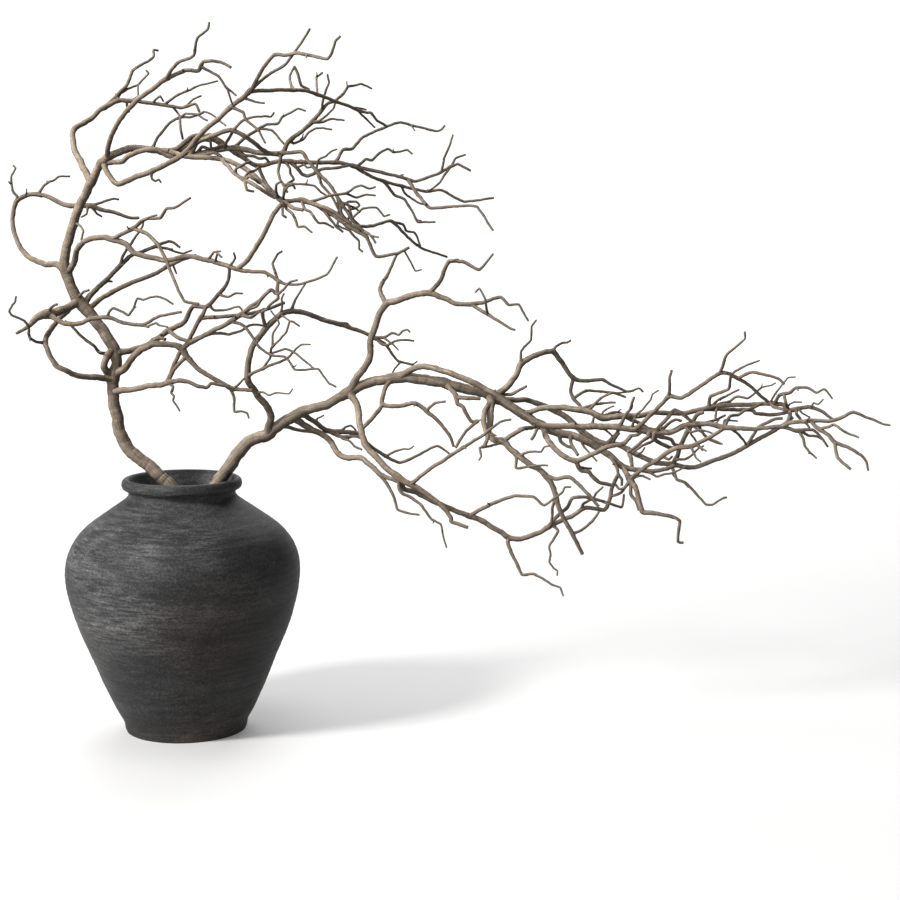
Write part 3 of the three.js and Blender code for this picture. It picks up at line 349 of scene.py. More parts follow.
# The finer side twigs of each node, listed in the same way.  A name is given where more twigs grow
# from that one.
TWIGS = {
    "left_trunk": [
        ["", "trunk", [2.5, 2.2, 1.7], [-8, -9, -6], [-95, 534, -107, 534, -113, 537, -120, 546,
         -130, 553, -140, 563, -150, 573, -158, 579]],
        ["", "trunk", [1.9, 1.4], [-6, -10], [-143, 716, -133, 710, -129, 702, -132, 691]],
        ["", "trunk", [2.2, 1.7], [-6, -8], [-137, 612, -131, 619, -124, 621]],
        ["arch_twig", "trunk", [2.1, 1.9, 1.5], [-8, -10, -12], [-33, 814, -24, 829, -15, 840, -7,
         850, 2, 855, 9, 857, 21, 857, 31, 860, 40, 864]],
        ["", "arch_twig", [1.7, 1.4], [-14, -16], [7, 857, 16, 862, 30, 861, 44, 853]],
        ["", "arch_twig", [1.6, 1.3], [-14, -16], [33, 861, 40, 865, 50, 861, 59, 855, 69, 846]],
        ["", "arch_twig", [2, 1.8, 1.7], [-18, -14], [7, 857, 7, 848, 8, 838, 10, 828]],
    ],
    "left_big_loop": [
        ["", "big_loop", [2.2, 1.9, 1.5], [30, 34], [-118, 737, -105, 741, -94, 745, -86, 747, -79,
         746]],
        ["", "big_loop", [1.9, 1.5], [28, 32], [-118, 737, -114, 732, -110, 727, -103, 723]],
        ["", "big_loop", [1.8, 1.4], [24, 22], [-122, 737, -124, 726, -131, 722]],
        ["", "big_loop", [2.1, 1.8, 1.4], [38, 42], [-190, 752, -182, 764, -175, 770, -166, 773,
         -160, 777, -146, 777]],
        ["", "big_loop", [2.1, 1.8, 1.4], [34, 36, 40], [-220, 743, -219, 750, -225, 758, -226,
         771, -225, 779, -220, 788, -223, 792]],
    ],
    "left_low_loop": [
        ["", "low_loop", [2.2, 1.8, 1.4], [-26, -32, -36], [-185, 549, -198, 550, -206, 554, -209,
         561, -209, 572, -214, 579, -222, 583, -231, 587, -234, 592, -230, 601, -226, 606, -225,
         612]],
    ],
    "left_burl_limb": [
        ["", "burl", [2.2, 1.7], [-18, -20], [-180, 590, -177, 597, -172, 601, -168, 602]],
        ["", "cross_limb", [1.9, 1.6, 1.4], [-30, -33, -36], [-99, 585, -96, 592, -90, 597, -78,
         592, -70, 587, -62, 597, -57, 610, -49, 608, -38, 612, -29, 613, -18, 609, -8, 602]],
        ["", "cross_limb", [1.7, 1.4], [-36, -40], [-50, 573, -44, 571, -31, 576, -27, 573, -16,
         571]],
    ],
    "left_hook_limb": [
        ["", "hook_up", [1.7, 1.4], [-54, -56], [-50, 713, -46, 718, -38, 722, -28, 724]],
        ["", "hook", [1.9, 1.4], [-42, -46], [42, 663, 49, 673, 59, 675]],
        ["", "hook", [1.7, 1.4], [-46, -48], [51, 660, 55, 672, 61, 667]],
        ["", "hook", [1.8, 1.4], [-46, -50], [72, 654, 80, 665, 78, 673]],
        ["", "hook", [1.9, 1.5], [-60, -64], [137, 633, 138, 616, 146, 623, 154, 633, 165, 636]],
        ["", "hook", [2, 1.5], [-50, -46], [137, 633, 135, 644, 131, 658, 138, 671, 145, 675]],
        ["", "hook", [2, 2, 1.9, 1.6], [-58, -60, -56, -52], [137, 633, 136, 620, 138, 610, 127,
         602, 121, 595, 115, 591, 117, 577, 121, 572]],
    ],
    "left_back_diagonal": [
        ["", "back_diagonal", [2.2, 1.9, 1.5], [24, 22, 20], [-79, 658, -75, 668, -69, 679, -62,
         688, -53, 700, -47, 710, -46, 718]],
        ["", "back_diagonal", [1.9, 1.6], [30, 32], [-101, 634, -91, 633]],
        ["", "back_diagonal", [2, 1.6, 1.4], [38, 42], [-32, 681, -22, 680, -14, 679, -4, 675, 8,
         672, 19, 676]],
    ],
    "left_front_diagonal": [
        ["", "front_diagonal", [1.8, 1.4], [10, 10], [-14, 654, -7, 657, -2, 645]],
    ],
    "left_low_limb_1": [
        ["", "low_1", [2, 1.6, 1.4], [-8, -10], [56, 615, 69, 612, 80, 617, 89, 617]],
        ["", "low_1", [2.1, 1.7, 1.4], [-2, -6], [43, 600, 50, 594, 67, 594, 84, 599, 89, 593]],
        ["", "low_1", [3, 2.8, 2.8], [2, -2], [-14, 566, -1, 556, 11, 551]],
        ["", "low_1", [3, 2.4], [-2, -4], [-36, 550, -30, 555, -19, 554]],
    ],
    "left_low_limb_2": [
        ["", "low_2", [2.1, 1.8, 1.5], [-20, -22], [73, 485, 83, 492, 90, 499]],
        ["", "low_2", [2.4, 2, 1.4], [-18, -20, -22], [71, 486, 75, 471, 75, 453, 84, 453, 93, 450,
         95, 444]],
        ["", "low_2", [2.9, 2.6], [-16, -20], [8, 530, 5, 525, -8, 511, -17, 494]],
        ["", "low_2_arm", [2.4, 1.9, 1.5], [-28, -26], [23, 553, 44, 561, 57, 562, 70, 560, 87,
         566, 98, 573, 108, 574, 125, 571]],
        ["", "low_2_arm", [2.4, 2, 1.6, 1.4], [-40, -44, -48], [72, 579, 85, 575, 93, 568, 102,
         557, 110, 545, 121, 535, 129, 531, 146, 529, 154, 520, 160, 511, 172, 511, 193, 512, 200,
         502, 207, 492, 217, 487]],
        ["", "low_2_arm", [1.9, 1.5], [-38, -38], [86, 587, 98, 583, 109, 590]],
        ["", "low_2_arm", [2.2, 2, 2], [-38, -40], [96, 595, 108, 599, 116, 611, 127, 621]],
        ["", "low_2_arm", [2, 1.7], [-38, -36], [88, 590, 100, 583, 106, 587, 113, 592]],
    ],
    "left_low_limb_3": [
        ["", "low_3", [2.1, 1.7, 1.4], [-26, -28], [-15, 493, -10, 487, -13, 479, -9, 474, -10,
         468, -5, 461, -1, 454]],
    ],
    "left_crown_limb_1": [
        ["", "crown_1_tip", [2, 1.6, 1.4], [58, 60], [-79, 887, -64, 895, -49, 901, -44, 907, -35,
         916, -38, 920]],
        ["", "crown_1", [1.7, 1.4], [50, 52], [-58, 878, -49, 886, -49, 899]],
        ["", "crown_1", [2.1, 1.7, 1.4], [50, 54, 58], [-14, 876, 0, 884, 13, 891, 23, 895, 38,
         901, 59, 906]],
        ["", "crown_1", [1.8, 1.4], [44, 46], [-29, 876, -25, 882, -19, 886, -15, 879]],
        ["", "crown_1", [1.8, 1.4], [52, 54], [15, 871, 25, 881, 36, 886]],
        ["", "crown_1", [2.2, 2, 1.6], [54, 62], [-79, 878, -76, 886, -71, 893, -65, 900]],
        ["", "crown_1", [2, 1.6], [60, 60], [-65, 880, -65, 870, -62, 864]],
        ["", "crown_1", [1.8, 1.6], [66, 64], [-4, 872, 2, 866, 8, 858]],
    ],
    "left_crown_limb_2": [
        ["crown_2_side", "crown_2", [2.2, 1.8, 1.4], [-52, -50], [38, 925, 61, 912, 71, 897, 84,
         887]],
        ["", "crown_2_side", [1.6, 1.3], [-50, -48], [72, 896, 76, 883, 79, 874]],
    ],
    "left_top_limb": [
        ["", "top", [2, 1.6, 1.4], [-22, -20], [-35, 785, -33, 774, -28, 771, -24, 773, -21, 769]],
        ["", "top", [2.3, 1.9, 1.4], [-34, -36], [78, 871, 93, 864, 96, 855, 108, 845, 115, 839,
         119, 830, 123, 823]],
        ["", "top", [2, 1.6, 1.4], [-34, -34], [95, 883, 110, 878, 123, 877]],
        ["curl", "top_right_fork", [2, 1.8, 1.4], [-4, 0], [164, 893, 160, 899, 158, 907, 158, 914,
         164, 925]],
        ["", "curl", [1.9, 2.1, 1.8], [0, 2], [164, 925, 169, 915, 173, 900, 185, 894]],
        ["", "top_right_fork", [1.8, 1.4], [4, 8], [196, 889, 194, 904, 194, 911, 202, 917]],
        ["", "top_right_fork", [2.2, 1.8, 1.4], [14, 20], [219, 879, 231, 889, 237, 898, 246, 900,
         255, 902, 269, 896]],
        ["", "top_right_fork", [1.8, 1.4], [12, 14], [250, 866, 263, 853, 273, 844]],
        ["", "top_right_fork", [1.6, 1.3], [10, 12], [243, 870, 252, 870, 261, 868]],
    ],
    "left_long_limb": [
        ["", "long", [2, 1.7, 1.4], [40, 38], [364, 783, 368, 802, 375, 818, 380, 833]],
        ["", "long", [1.8, 1.4], [46, 48], [378, 790, 384, 802, 397, 806]],
        ["", "long", [1.9, 1.6, 1.4], [42, 40], [378, 789, 368, 779, 363, 770, 353, 762, 345,
         757]],
        ["", "long", [2.2, 1.8, 1.4], [36, 34, 30], [248, 790, 261, 800, 269, 799, 279, 808, 290,
         815, 298, 810, 308, 811, 318, 813, 324, 808]],
        ["", "long", [2.7, 2.6, 2.2], [24, 20, 18], [113, 791, 117, 781, 122, 771, 130, 759, 138,
         751]],
        ["wave", "long", [2.7, 2.4, 2], [28, 26, 28], [156, 797, 168, 787, 174, 780, 181, 778, 189,
         781, 200, 787, 217, 789, 236, 791]],
        ["", "wave", [1.9, 1.6, 1.4], [24, 22], [192, 783, 196, 800, 206, 805, 213, 811, 221,
         814]],
        ["", "long_low", [2.3, 1.9, 1.5], [52, 48, 46], [283, 772, 293, 762, 300, 752, 313, 747,
         318, 739, 324, 731, 328, 721, 332, 715, 343, 715, 356, 715]],
        ["", "long_low", [1.9, 1.6], [56, 54], [309, 764, 313, 756, 321, 749, 331, 742, 341, 739]],
        ["", "long", [3, 2.8, 2.4], [10, 14, 18], [-8, 810, 7, 811, 20, 822, 33, 827, 47, 834, 60,
         827, 72, 817]],
        ["", "long", [2.3, 2, 1.8], [36, 38], [156, 797, 163, 794, 172, 799, 181, 796, 190, 796]],
        ["", "wave", [1.8, 1.5], [24, 22], [160, 794, 168, 790, 176, 793, 180, 789, 188, 790]],
        ["", "long", [2, 1.8, 1.5], [24, 16, 10], [150, 798, 156, 789, 157, 782, 162, 773, 153,
         768, 148, 761, 147, 753]],
    ],
    "left_tangle_limb": [
        ["", "tangle", [1.9, 1.6, 1.4], [2, 0], [187, 850, 198, 853, 208, 860, 217, 869, 220,
         877]],
        ["", "tangle", [2, 1.6, 1.4], [8, 10], [187, 850, 202, 851, 213, 855, 221, 854, 231, 853]],
        ["", "tangle", [2, 1.6, 1.4], [12, 14], [157, 826, 162, 822, 175, 827, 183, 837, 192, 842,
         202, 843, 214, 841]],
        ["", "tangle", [2, 1.7, 1.4], [-2, -6], [200, 868, 202, 879, 206, 893, 211, 904, 209,
         914]],
        ["over", "tangle", [2.6, 2.2, 1.8, 1.4], [8, 10, 12], [80, 815, 97, 831, 115, 842, 126,
         848, 141, 849, 147, 858, 158, 863, 168, 869, 178, 866]],
        ["", "over", [1.9, 1.5], [8, 6], [115, 842, 131, 840, 137, 835, 143, 827, 151, 819]],
        ["", "tangle_arch", [2.1, 1.7, 1.4], [-18, -20], [80, 839, 84, 845, 89, 850, 95, 854, 108,
         858, 122, 859, 131, 858, 135, 863]],
        ["", "tangle", [2.3, 2.1], [-6, -10], [69, 814, 69, 821, 74, 829, 78, 836]],
        ["short_fall", "tangle", [2.4, 2.2, 1.8], [-4, -10, -16], [145, 808, 142, 794, 140, 784,
         143, 773, 149, 763, 153, 756]],
        ["", "short_fall", [1.9, 1.6, 1.4], [-14, -12], [147, 766, 157, 767, 168, 767, 181, 766,
         191, 764, 199, 756, 208, 750]],
        ["", "tangle_fall", [1.9, 1.7, 1.5], [-10, -8], [224, 738, 231, 740, 237, 743, 247, 743,
         252, 738, 245, 733, 238, 732]],
        ["", "tangle_fall", [1.8, 1.6, 1.4], [-12, -10, -8], [240, 720, 256, 733, 274, 735, 279,
         730, 285, 723, 293, 725]],
        ["", "tangle", [2.3, 2.1, 2], [-3, -3, -2], [29, 808, 37, 817, 46, 815, 56, 816, 65, 820,
         72, 813]],
        ["", "tangle_arch", [2, 1.8], [-6, -4], [30, 823, 40, 826, 48, 825, 49, 817, 54, 812]],
        ["", "tangle", [2.4, 2.2, 1.9], [0, 2, 6], [84, 815, 95, 806, 107, 804, 114, 801, 123, 802,
         128, 796]],
        ["", "tangle_fall", [2.3, 2, 1.6], [-13, -12], [193, 784, 200, 766, 212, 752, 221, 737,
         224, 729]],
        ["", "tangle_fall", [2.1, 2, 1.6], [-13, -12], [226, 743, 236, 738, 240, 727, 243, 719,
         252, 710]],
        ["", "tangle_fall", [2.2, 2.1, 1.7], [-12, -12], [225, 742, 226, 727, 232, 720, 239, 714,
         246, 706]],
        ["", "tangle_fall", [1.9, 1.7, 1.4], [-10, -8], [222, 748, 223, 722, 221, 712, 228, 707,
         238, 703]],
        ["", "tangle_fall", [1.7, 1.5], [-8, -6], [226, 743, 245, 735, 252, 728]],
        ["", "tangle_fall", [1.8, 1.6, 1.5], [-11, -10], [229, 736, 236, 729, 237, 721, 232, 715,
         240, 710]],
        ["", "tangle_fall", [1.9, 1.6], [-12, -13], [250, 706, 264, 699, 270, 692, 274, 686]],
    ],
    "left_tangle_low": [
        ["", "tangle_low_2", [2.2, 2, 1.7], [-56, -54], [94, 774, 95, 767, 97, 759, 107, 757]],
        ["", "tangle_low", [2.2, 1.9, 1.5], [-54, -50], [172, 744, 176, 733, 184, 729, 189, 722,
         195, 714, 204, 714, 216, 707]],
        ["", "tangle_low", [2, 1.6], [-50, -48], [199, 734, 210, 721, 220, 708, 229, 701]],
        ["", "tangle_low", [2.2, 1.8, 1.4], [-56, -58], [148, 745, 151, 733, 159, 727, 163, 717,
         166, 709, 177, 709, 186, 701]],
        ["", "tangle_low", [3, 2.8, 2.2], [-52, -54], [146, 744, 160, 735, 174, 731]],
        ["", "tangle_low", [2, 1.6], [-54, -56], [146, 744, 146, 735, 146, 725, 151, 721]],
        ["", "tangle_low", [2.1, 1.8, 1.4], [-48, -46], [227, 717, 236, 706, 244, 696, 251, 689,
         251, 679, 255, 675]],
        ["", "tangle_low", [2, 1.6, 1.4], [-56, -58], [248, 703, 255, 705, 267, 697, 277, 694]],
        ["", "tangle_low_tip", [2, 1.6, 1.4], [-12, -8], [298, 714, 311, 712, 316, 703, 326, 701,
         331, 694, 335, 682]],
        ["mid", "tangle_low", [2.1, 1.8, 1.4], [-46, -42, -38], [176, 744, 183, 743, 197, 747, 214,
         752, 233, 754, 244, 762, 254, 765, 265, 761, 273, 763]],
        ["", "mid", [1.8, 1.4], [-38, -36], [233, 754, 248, 749, 261, 753, 273, 751]],
        ["", "tangle_low", [2.3, 2.2, 1.9], [-16, -20], [24, 804, 43, 807, 52, 809, 60, 806, 66,
         799]],
        ["", "tangle_low_2", [2.1, 1.9], [-46, -40], [81, 781, 83, 788, 87, 791, 96, 795, 103,
         797]],
        ["", "tangle_low_2", [2.1, 1.9], [-50, -40], [94, 774, 99, 782, 107, 785, 113, 789]],
        ["", "tangle_low_2", [2.4, 2.1], [-52, -50], [94, 774, 101, 777, 108, 773, 116, 768]],
        ["", "tangle_low", [1.9, 1.7, 1.4], [-50, -46], [146, 744, 149, 757, 153, 763, 161, 765,
         163, 761]],
        ["", "tangle_low", [2.1, 1.8, 1.6], [-54, -56], [140, 748, 137, 757, 138, 766, 144, 770]],
        ["", "tangle_low", [2.6, 2.4, 2], [-56, -56, -54], [178, 742, 196, 738, 210, 733, 221, 727,
         228, 720, 240, 712, 256, 704, 263, 693]],
        ["", "tangle_low", [2.3, 2.1, 1.7], [-46, -44], [190, 738, 207, 727, 217, 723, 224, 721]],
    ],
    "right_stem": [
        ["", "stem", [2.9, 2.7, 2.2], [8, 10], [140, 437, 146, 432, 154, 430, 165, 427, 178, 425,
         187, 423]],
        ["", "stem", [2.6, 2.4, 2.2], [-4, -6], [499, 434, 495, 421, 490, 413]],
        ["", "stem", [2.6, 2.4, 2.2], [-10, -18], [544, 420, 546, 408, 549, 400, 555, 391]],
        ["", "stem", [2.6, 2.4, 2.1], [-4, -8], [528, 421, 531, 410, 539, 404, 547, 402, 552,
         396]],
        ["", "stem", [1.8, 1.5, 1.2], [-6, -8], [558, 414, 564, 402, 572, 393, 582, 383]],
        ["", "stem", [2.4, 2.2, 1.9], [-6, -8], [600, 391, 606, 380, 610, 371, 612, 363, 617, 357,
         617, 348]],
        ["", "stem", [1.8, 1.6, 1.3], [-6, -10], [654, 369, 665, 361, 675, 364, 688, 366, 697, 370,
         707, 376]],
        ["", "stem", [2.6, 2.4, 1.9], [6, 4, 0], [440, 473, 452, 476, 461, 477, 470, 481, 483,
         488]],
    ],
    "right_inner_limb": [
        ["", "inner", [2.2, 1.8, 1.3], [-6, -8], [157, 591, 161, 607, 168, 618, 176, 631]],
        ["", "inner", [1.7, 1.4, 1.1], [-22, -26], [106, 480, 114, 480, 123, 475, 134, 479, 152,
         478, 157, 484]],
        ["inner_rise", "inner_fork", [1.9, 1.7, 1.3], [-38, -38], [115, 514, 125, 527, 128, 541,
         140, 554, 149, 565, 154, 578, 159, 578, 167, 572]],
        ["", "inner_rise", [1.9, 1.6, 1.3], [-42, -46], [127, 533, 138, 537, 147, 540, 159, 535,
         174, 524, 185, 514, 193, 512]],
        ["", "inner_rise", [1.8, 1.4, 1.2], [-34, -32], [129, 543, 131, 563, 139, 575, 136, 583,
         128, 592]],
        ["", "inner", [1.7, 1.3], [-14, -14], [141, 588, 144, 601, 143, 610, 146, 617]],
        ["", "inner", [1.6, 1.2], [-18, -20], [141, 587, 153, 580]],
        ["", "inner", [2.1, 1.7], [-20, -20], [119, 567, 120, 573, 117, 584, 117, 597]],
        ["", "inner", [2, 1.6], [2, 4], [199, 581, 222, 577, 233, 576, 239, 570]],
        ["inner_tip", "inner", [2.2, 1.8, 1.3], [14, 12, 8], [268, 557, 284, 556, 295, 562, 305,
         559, 310, 565, 317, 567, 320, 564]],
        ["", "inner_tip", [1.8, 1.2], [10, 8], [284, 556, 291, 551, 297, 546, 304, 539]],
        ["", "inner", [2.2, 1.9, 1.5], [12, 10, 8], [272, 553, 282, 546, 291, 546, 300, 551, 312,
         553, 326, 551]],
        ["", "inner", [1.5, 1.2], [16, 14], [319, 518, 325, 519, 330, 523]],
        ["", "inner", [1.6, 1.3], [14, 10], [307, 521, 299, 513, 296, 507]],
    ],
    "right_upright_limb": [
        ["", "upright_left", [1.5, 1.3, 1.1], [18, 22], [313, 676, 321, 661, 328, 648, 336, 650]],
        ["", "upright_low", [1.9, 1.6, 1.3], [-40, -40, -38], [429, 589, 426, 600, 425, 607, 420,
         618, 416, 624, 411, 619]],
        ["", "upright_top", [1.6, 1.2], [-38, -40], [374, 661, 383, 664, 387, 664]],
    ],
    "right_light_limb": [
        ["", "light", [2.2, 1.8, 1.3], [-32, -34], [864, 426, 870, 414, 872, 405, 878, 396, 889,
         387]],
        ["", "light", [2.4, 1.8, 1.2], [-28, -26], [866, 426, 877, 419, 888, 418, 897, 413, 901,
         407]],
        ["", "light", [2, 1.6, 1.2], [-20, -24, -28], [630, 428, 636, 449, 644, 455, 649, 461, 656,
         469, 658, 477, 666, 482]],
        ["", "light", [2.4, 2.2, 1.9], [-16, -20], [612, 430, 621, 448, 628, 456, 630, 465, 633,
         473]],
        ["", "light", [2.7, 2.6, 2.2], [-24, -28, -26], [664, 425, 672, 435, 680, 444, 689, 454,
         697, 451, 706, 444, 714, 438]],
        ["", "light", [2.4, 2.2, 2], [-12, -10], [668, 424, 684, 438, 691, 441, 699, 439]],
        ["", "light", [2.9, 2.7, 2.2], [-10, -6, -4], [652, 426, 657, 419, 672, 417, 685, 414, 691,
         406, 704, 404, 716, 404]],
        ["", "light", [2.7, 2.4, 2], [-22, -26], [655, 426, 652, 416, 641, 408, 631, 399, 625,
         395]],
        ["", "light", [2.4, 2, 1.6], [-26, -30], [662, 425, 659, 411, 644, 404, 631, 394]],
        ["", "light", [3.3, 2.9, 2.4], [-8, -2, 2], [648, 427, 659, 416, 670, 408, 683, 402, 695,
         400]],
        ["", "light", [1.9, 1.5, 1.2], [-22, -26], [713, 434, 719, 430, 727, 424, 738, 416, 757,
         407]],
        ["", "light", [1.8, 1.4, 1.2], [-18, -16], [712, 433, 713, 421, 719, 412, 729, 398]],
        ["", "light", [1.8, 1.4], [-26, -28], [703, 432, 712, 424, 727, 427, 738, 424, 745, 421]],
        ["", "light", [2, 1.7], [-8, 0], [768, 430, 779, 421, 786, 413, 791, 406]],
        ["", "light", [2.2, 1.8, 1.4], [-16, -18], [722, 435, 731, 420, 740, 413, 755, 407]],
        ["", "light", [1.6, 1.2], [-12, -14], [757, 431, 760, 441, 777, 439]],
        ["", "light", [1.8, 1.4], [-12, -10], [589, 431, 602, 418]],
        ["", "light", [2.4, 2.1], [-14, -10], [645, 427, 638, 420, 627, 418, 622, 408]],
        ["", "light", [2.2, 1.8], [-12, -14], [575, 431, 575, 436, 577, 445]],
        ["", "light", [2.4, 2.2, 1.8], [-12, -6, 0], [760, 431, 767, 446, 778, 448, 787, 454, 805,
         460, 812, 464]],
    ],
    "right_long_strand": [
        ["", "far", [2.9, 2.6, 2], [16, 8, 2], [595, 408, 604, 416, 610, 424, 617, 438, 621, 447]],
        ["", "far", [2.4, 2.1], [14, 8], [603, 407, 607, 416, 612, 422]],
        ["", "far", [3.3, 3.1, 2.7], [12, 6, 2], [626, 399, 629, 385, 631, 375]],
        ["", "far", [1.8, 1.4, 1.2], [14, 12], [638, 392, 644, 395, 648, 402]],
        ["", "far", [2.4, 2.1, 1.7], [16, 10, 6], [663, 381, 675, 388, 682, 385, 687, 389]],
        ["", "far_riser", [2.2, 1.8, 1.3], [4, 2, 0], [691, 386, 705, 385, 714, 391, 724, 400, 731,
         404]],
        ["", "far_riser", [2.4, 2.2, 1.7], [2, 6, 10], [713, 434, 733, 437, 750, 442, 760, 448]],
        ["", "far_riser", [2.4, 2.2, 1.9], [-2, -4], [713, 434, 735, 434, 750, 434, 760, 431]],
    ],
    "right_top_strand": [
        ["", "high", [1.6, 1.3], [-4, -6], [588, 444, 589, 452, 597, 457, 604, 460]],
        ["", "high", [2.2, 1.9, 1.5], [-6, -8], [560, 454, 567, 460, 578, 463, 590, 464, 607,
         465]],
        ["", "high", [2.2, 1.9], [-8, -12], [568, 453, 578, 463, 586, 471, 593, 475, 601, 479]],
        ["", "high", [3.1, 2.9, 2.4], [6, 10, 12, 12], [586, 444, 601, 450, 612, 450, 623, 444,
         635, 439, 646, 433, 655, 427]],
        ["", "high", [2.2, 1.9, 1.5], [14, 16], [742, 459, 749, 469, 760, 474, 770, 479, 779,
         483]],
        ["", "high", [2.4, 2.1, 1.6, 1.2], [12, 10, 6, 2], [742, 459, 756, 464, 766, 467, 774, 473,
         779, 474, 791, 471, 800, 477, 811, 487, 824, 489, 829, 492]],
        ["", "high", [1.8, 1.6], [6, 2], [748, 460, 747, 448, 747, 440]],
        ["", "high", [1.7, 1.4, 1.2], [2, -2], [822, 464, 832, 482, 841, 493, 847, 500, 857, 501]],
        ["", "high", [1.5, 1.2], [4, 2], [846, 458, 850, 463, 857, 466, 866, 466]],
        ["", "high", [1.5, 1.2], [0, -2], [880, 459, 883, 465, 889, 463, 896, 470]],
        ["", "high", [1.5, 1.2], [4, 6], [862, 456, 868, 450, 878, 445]],
        ["", "high", [2.4, 2.2], [-2, -4], [824, 464, 828, 459, 839, 456, 848, 454]],
        ["", "high_tip", [2.4, 2.2], [-4, 0], [842, 477, 844, 466, 848, 455]],
        ["", "high", [2.4, 2.1, 1.6], [2, 0], [858, 456, 860, 449, 867, 440, 874, 436, 879, 429]],
        ["", "high", [3.1, 3.1, 2.7], [0, -8], [850, 454, 850, 443, 846, 436, 841, 431]],
    ],
    "right_upper_limb": [
        ["", "upper", [2.4, 2.2, 1.9], [-42, -44], [682, 474, 682, 486, 682, 499, 685, 511]],
    ],
    "right_rise_limb": [
        ["", "rise", [2.2, 2, 1.7], [30, 30], [518, 537, 524, 544, 531, 548, 539, 549, 544, 552]],
        ["", "rise_link", [1.5, 1.2], [38, 40], [606, 478, 623, 480, 632, 482]],
    ],
    "right_drop_limb": [
        ["", "drop", [2.4, 2.1, 1.8], [-26, -24], [523, 331, 520, 318, 520, 305, 518, 294]],
        ["", "drop", [2.2, 2, 1.7], [-24, -22], [548, 280, 558, 283, 568, 290, 577, 298, 585,
         311]],
        ["", "drop", [2, 1.6, 1.2], [-32, -36], [475, 389, 480, 394, 493, 396, 504, 396, 508, 402,
         515, 404]],
        ["", "drop", [2.2, 1.8, 1.4], [-30, -34], [467, 395, 469, 386, 468, 373, 482, 374, 495,
         376, 512, 377]],
        ["", "drop", [2, 1.7], [-30, -28], [449, 410, 443, 407, 430, 403, 417, 402]],
        ["", "drop_twin", [1.9, 1.6, 1.3], [-34, -36], [423, 405, 417, 401, 420, 390, 417, 384]],
        ["", "drop", [1.6, 1.2], [-28, -30], [430, 427, 436, 421, 440, 419]],
    ],
    "right_low_limb": [
        ["", "low_short", [1.9, 1.5, 1.2], [-18, -20], [286, 390, 299, 397, 310, 400, 319, 400,
         325, 404]],
        ["", "low", [2.7, 2.2, 1.6, 1.2], [-38, -42, -44], [304, 360, 305, 343, 310, 336, 323, 330,
         334, 322, 341, 313, 350, 300, 363, 293, 366, 278, 371, 260]],
    ],
    "right_dark_limb": [
        ["", "dark", [2.2, 1.7, 1.2], [-18, -22, -24], [520, 293, 528, 283, 516, 262, 518, 250,
         516, 239, 522, 231, 528, 226, 527, 220]],
        ["", "dark", [2.2, 1.9, 1.5], [-14, -16], [561, 314, 563, 322, 569, 326, 577, 330, 582,
         338, 591, 346]],
    ],
    "right_under_arm": [
        ["", "arm", [1.9, 1.7, 1.4], [20, 20], [223, 424, 226, 427, 230, 431, 238, 433, 245, 426]],
        ["", "arm", [1.7, 1.4, 1.2], [14, 12], [189, 438, 191, 443, 199, 447]],
        ["", "arm", [2.7, 2.4, 2], [15, 14], [205, 426, 221, 418, 244, 418, 253, 415]],
        ["", "arm", [1.9, 1.6], [12, 8], [216, 425, 225, 415, 236, 411, 242, 404, 253, 398]],
    ],
    "right_link_limb": [
        ["", "link", [2.3, 2, 1.7], [-26, -28], [345, 455, 353, 463, 362, 466, 370, 467]],
    ],
    "right_hanging_loop": [
        ["", "loop_tail", [2, 1.6], [-20, -18], [557, 374, 564, 373, 574, 372]],
    ],
    "right_hub_limb": [
        ["", "hub", [2.7, 2.6, 2.2], [-12, -14], [629, 355, 630, 336, 637, 326, 642, 313]],
        ["", "hub", [2.2, 1.9, 1.5], [-18, -20], [630, 356, 638, 361, 646, 362, 657, 357]],
        ["", "hub", [2.6, 2.3, 1.9], [-8, -4], [628, 355, 617, 339, 603, 333]],
        ["", "hub", [2.2, 2, 1.7], [-12, -8], [628, 355, 621, 346, 613, 343, 606, 352]],
        ["", "hub_riser", [2, 1.6, 1.2], [-40, -42], [714, 404, 719, 389, 727, 382]],
        ["", "hub_riser", [1.6, 1.2], [-40, -42], [720, 406, 729, 400, 735, 397]],
    ],
    "right_tip_limb": [
        ["", "tip_low", [2.2, 1.8, 1.3], [-58, -60], [893, 428, 903, 431, 912, 434, 922, 428, 933,
         421, 947, 416]],
    ],
}

# How finely a limb is modelled, by the radius it starts with: at least this radius, sides, step.
FINENESS = [(5.0, 30, 1.6), (3.0, 18, 1.5), (1.7, 12, 1.4), (0.0, 8, 1.3)]
SHARPNESS = 0.85            # how much a thin limb's bends stay angular, against a smooth curve
SMOOTH_RADIUS = 5.0         # a limb this thick has no angular bends

WANDER = 0.34               # how far a limb wanders sideways, in millimetres
WANDER_SHARE = 0.05         # and by how much more for each millimetre of its radius
WANDER_START = 12           # the length in which the wander sets in
SLOW_BENDS = (17, 2.2)      # the length of a slow bend, and its share of the wander
QUICK_BENDS = (5.5, 0.9)

NODE_SPACING = (13, 30)     # distance between the swollen nodes along a limb
NODE_SWELLING = 0.075       # how much wider a limb is there, as a share of its radius
NODE_SHARE = (0.4, 1.5)     # how much one node differs from that
NODE_REACH = (1.6, 3.6)
FORK_SWELLING = 0.20
MOST_SWELLING = 0.3
KNOTTY = 0.16               # a swelling with the full dark colour of a knot
COLLAR = 0.62               # how much wider a limb is where it leaves its parent

RIDGE_DEPTH = 0.050         # depth of the lengthwise ridges, as a share of the limb's radius
RIDGE_LENGTH = 26
GROOVE_LENGTH = 15
LUMP_DEPTH = 0.055
TWIST_LENGTH = 90           # a limb's grain turns one radian at most in this length
MOST_OVAL = 0.07
BLUNT_RADIUS = 1.5          # a limb that is thicker than this at its end is broken off there
THIN_RADII = (1.2, 6.5)     # the bark is that of a twig up to the first, of a stem from the second

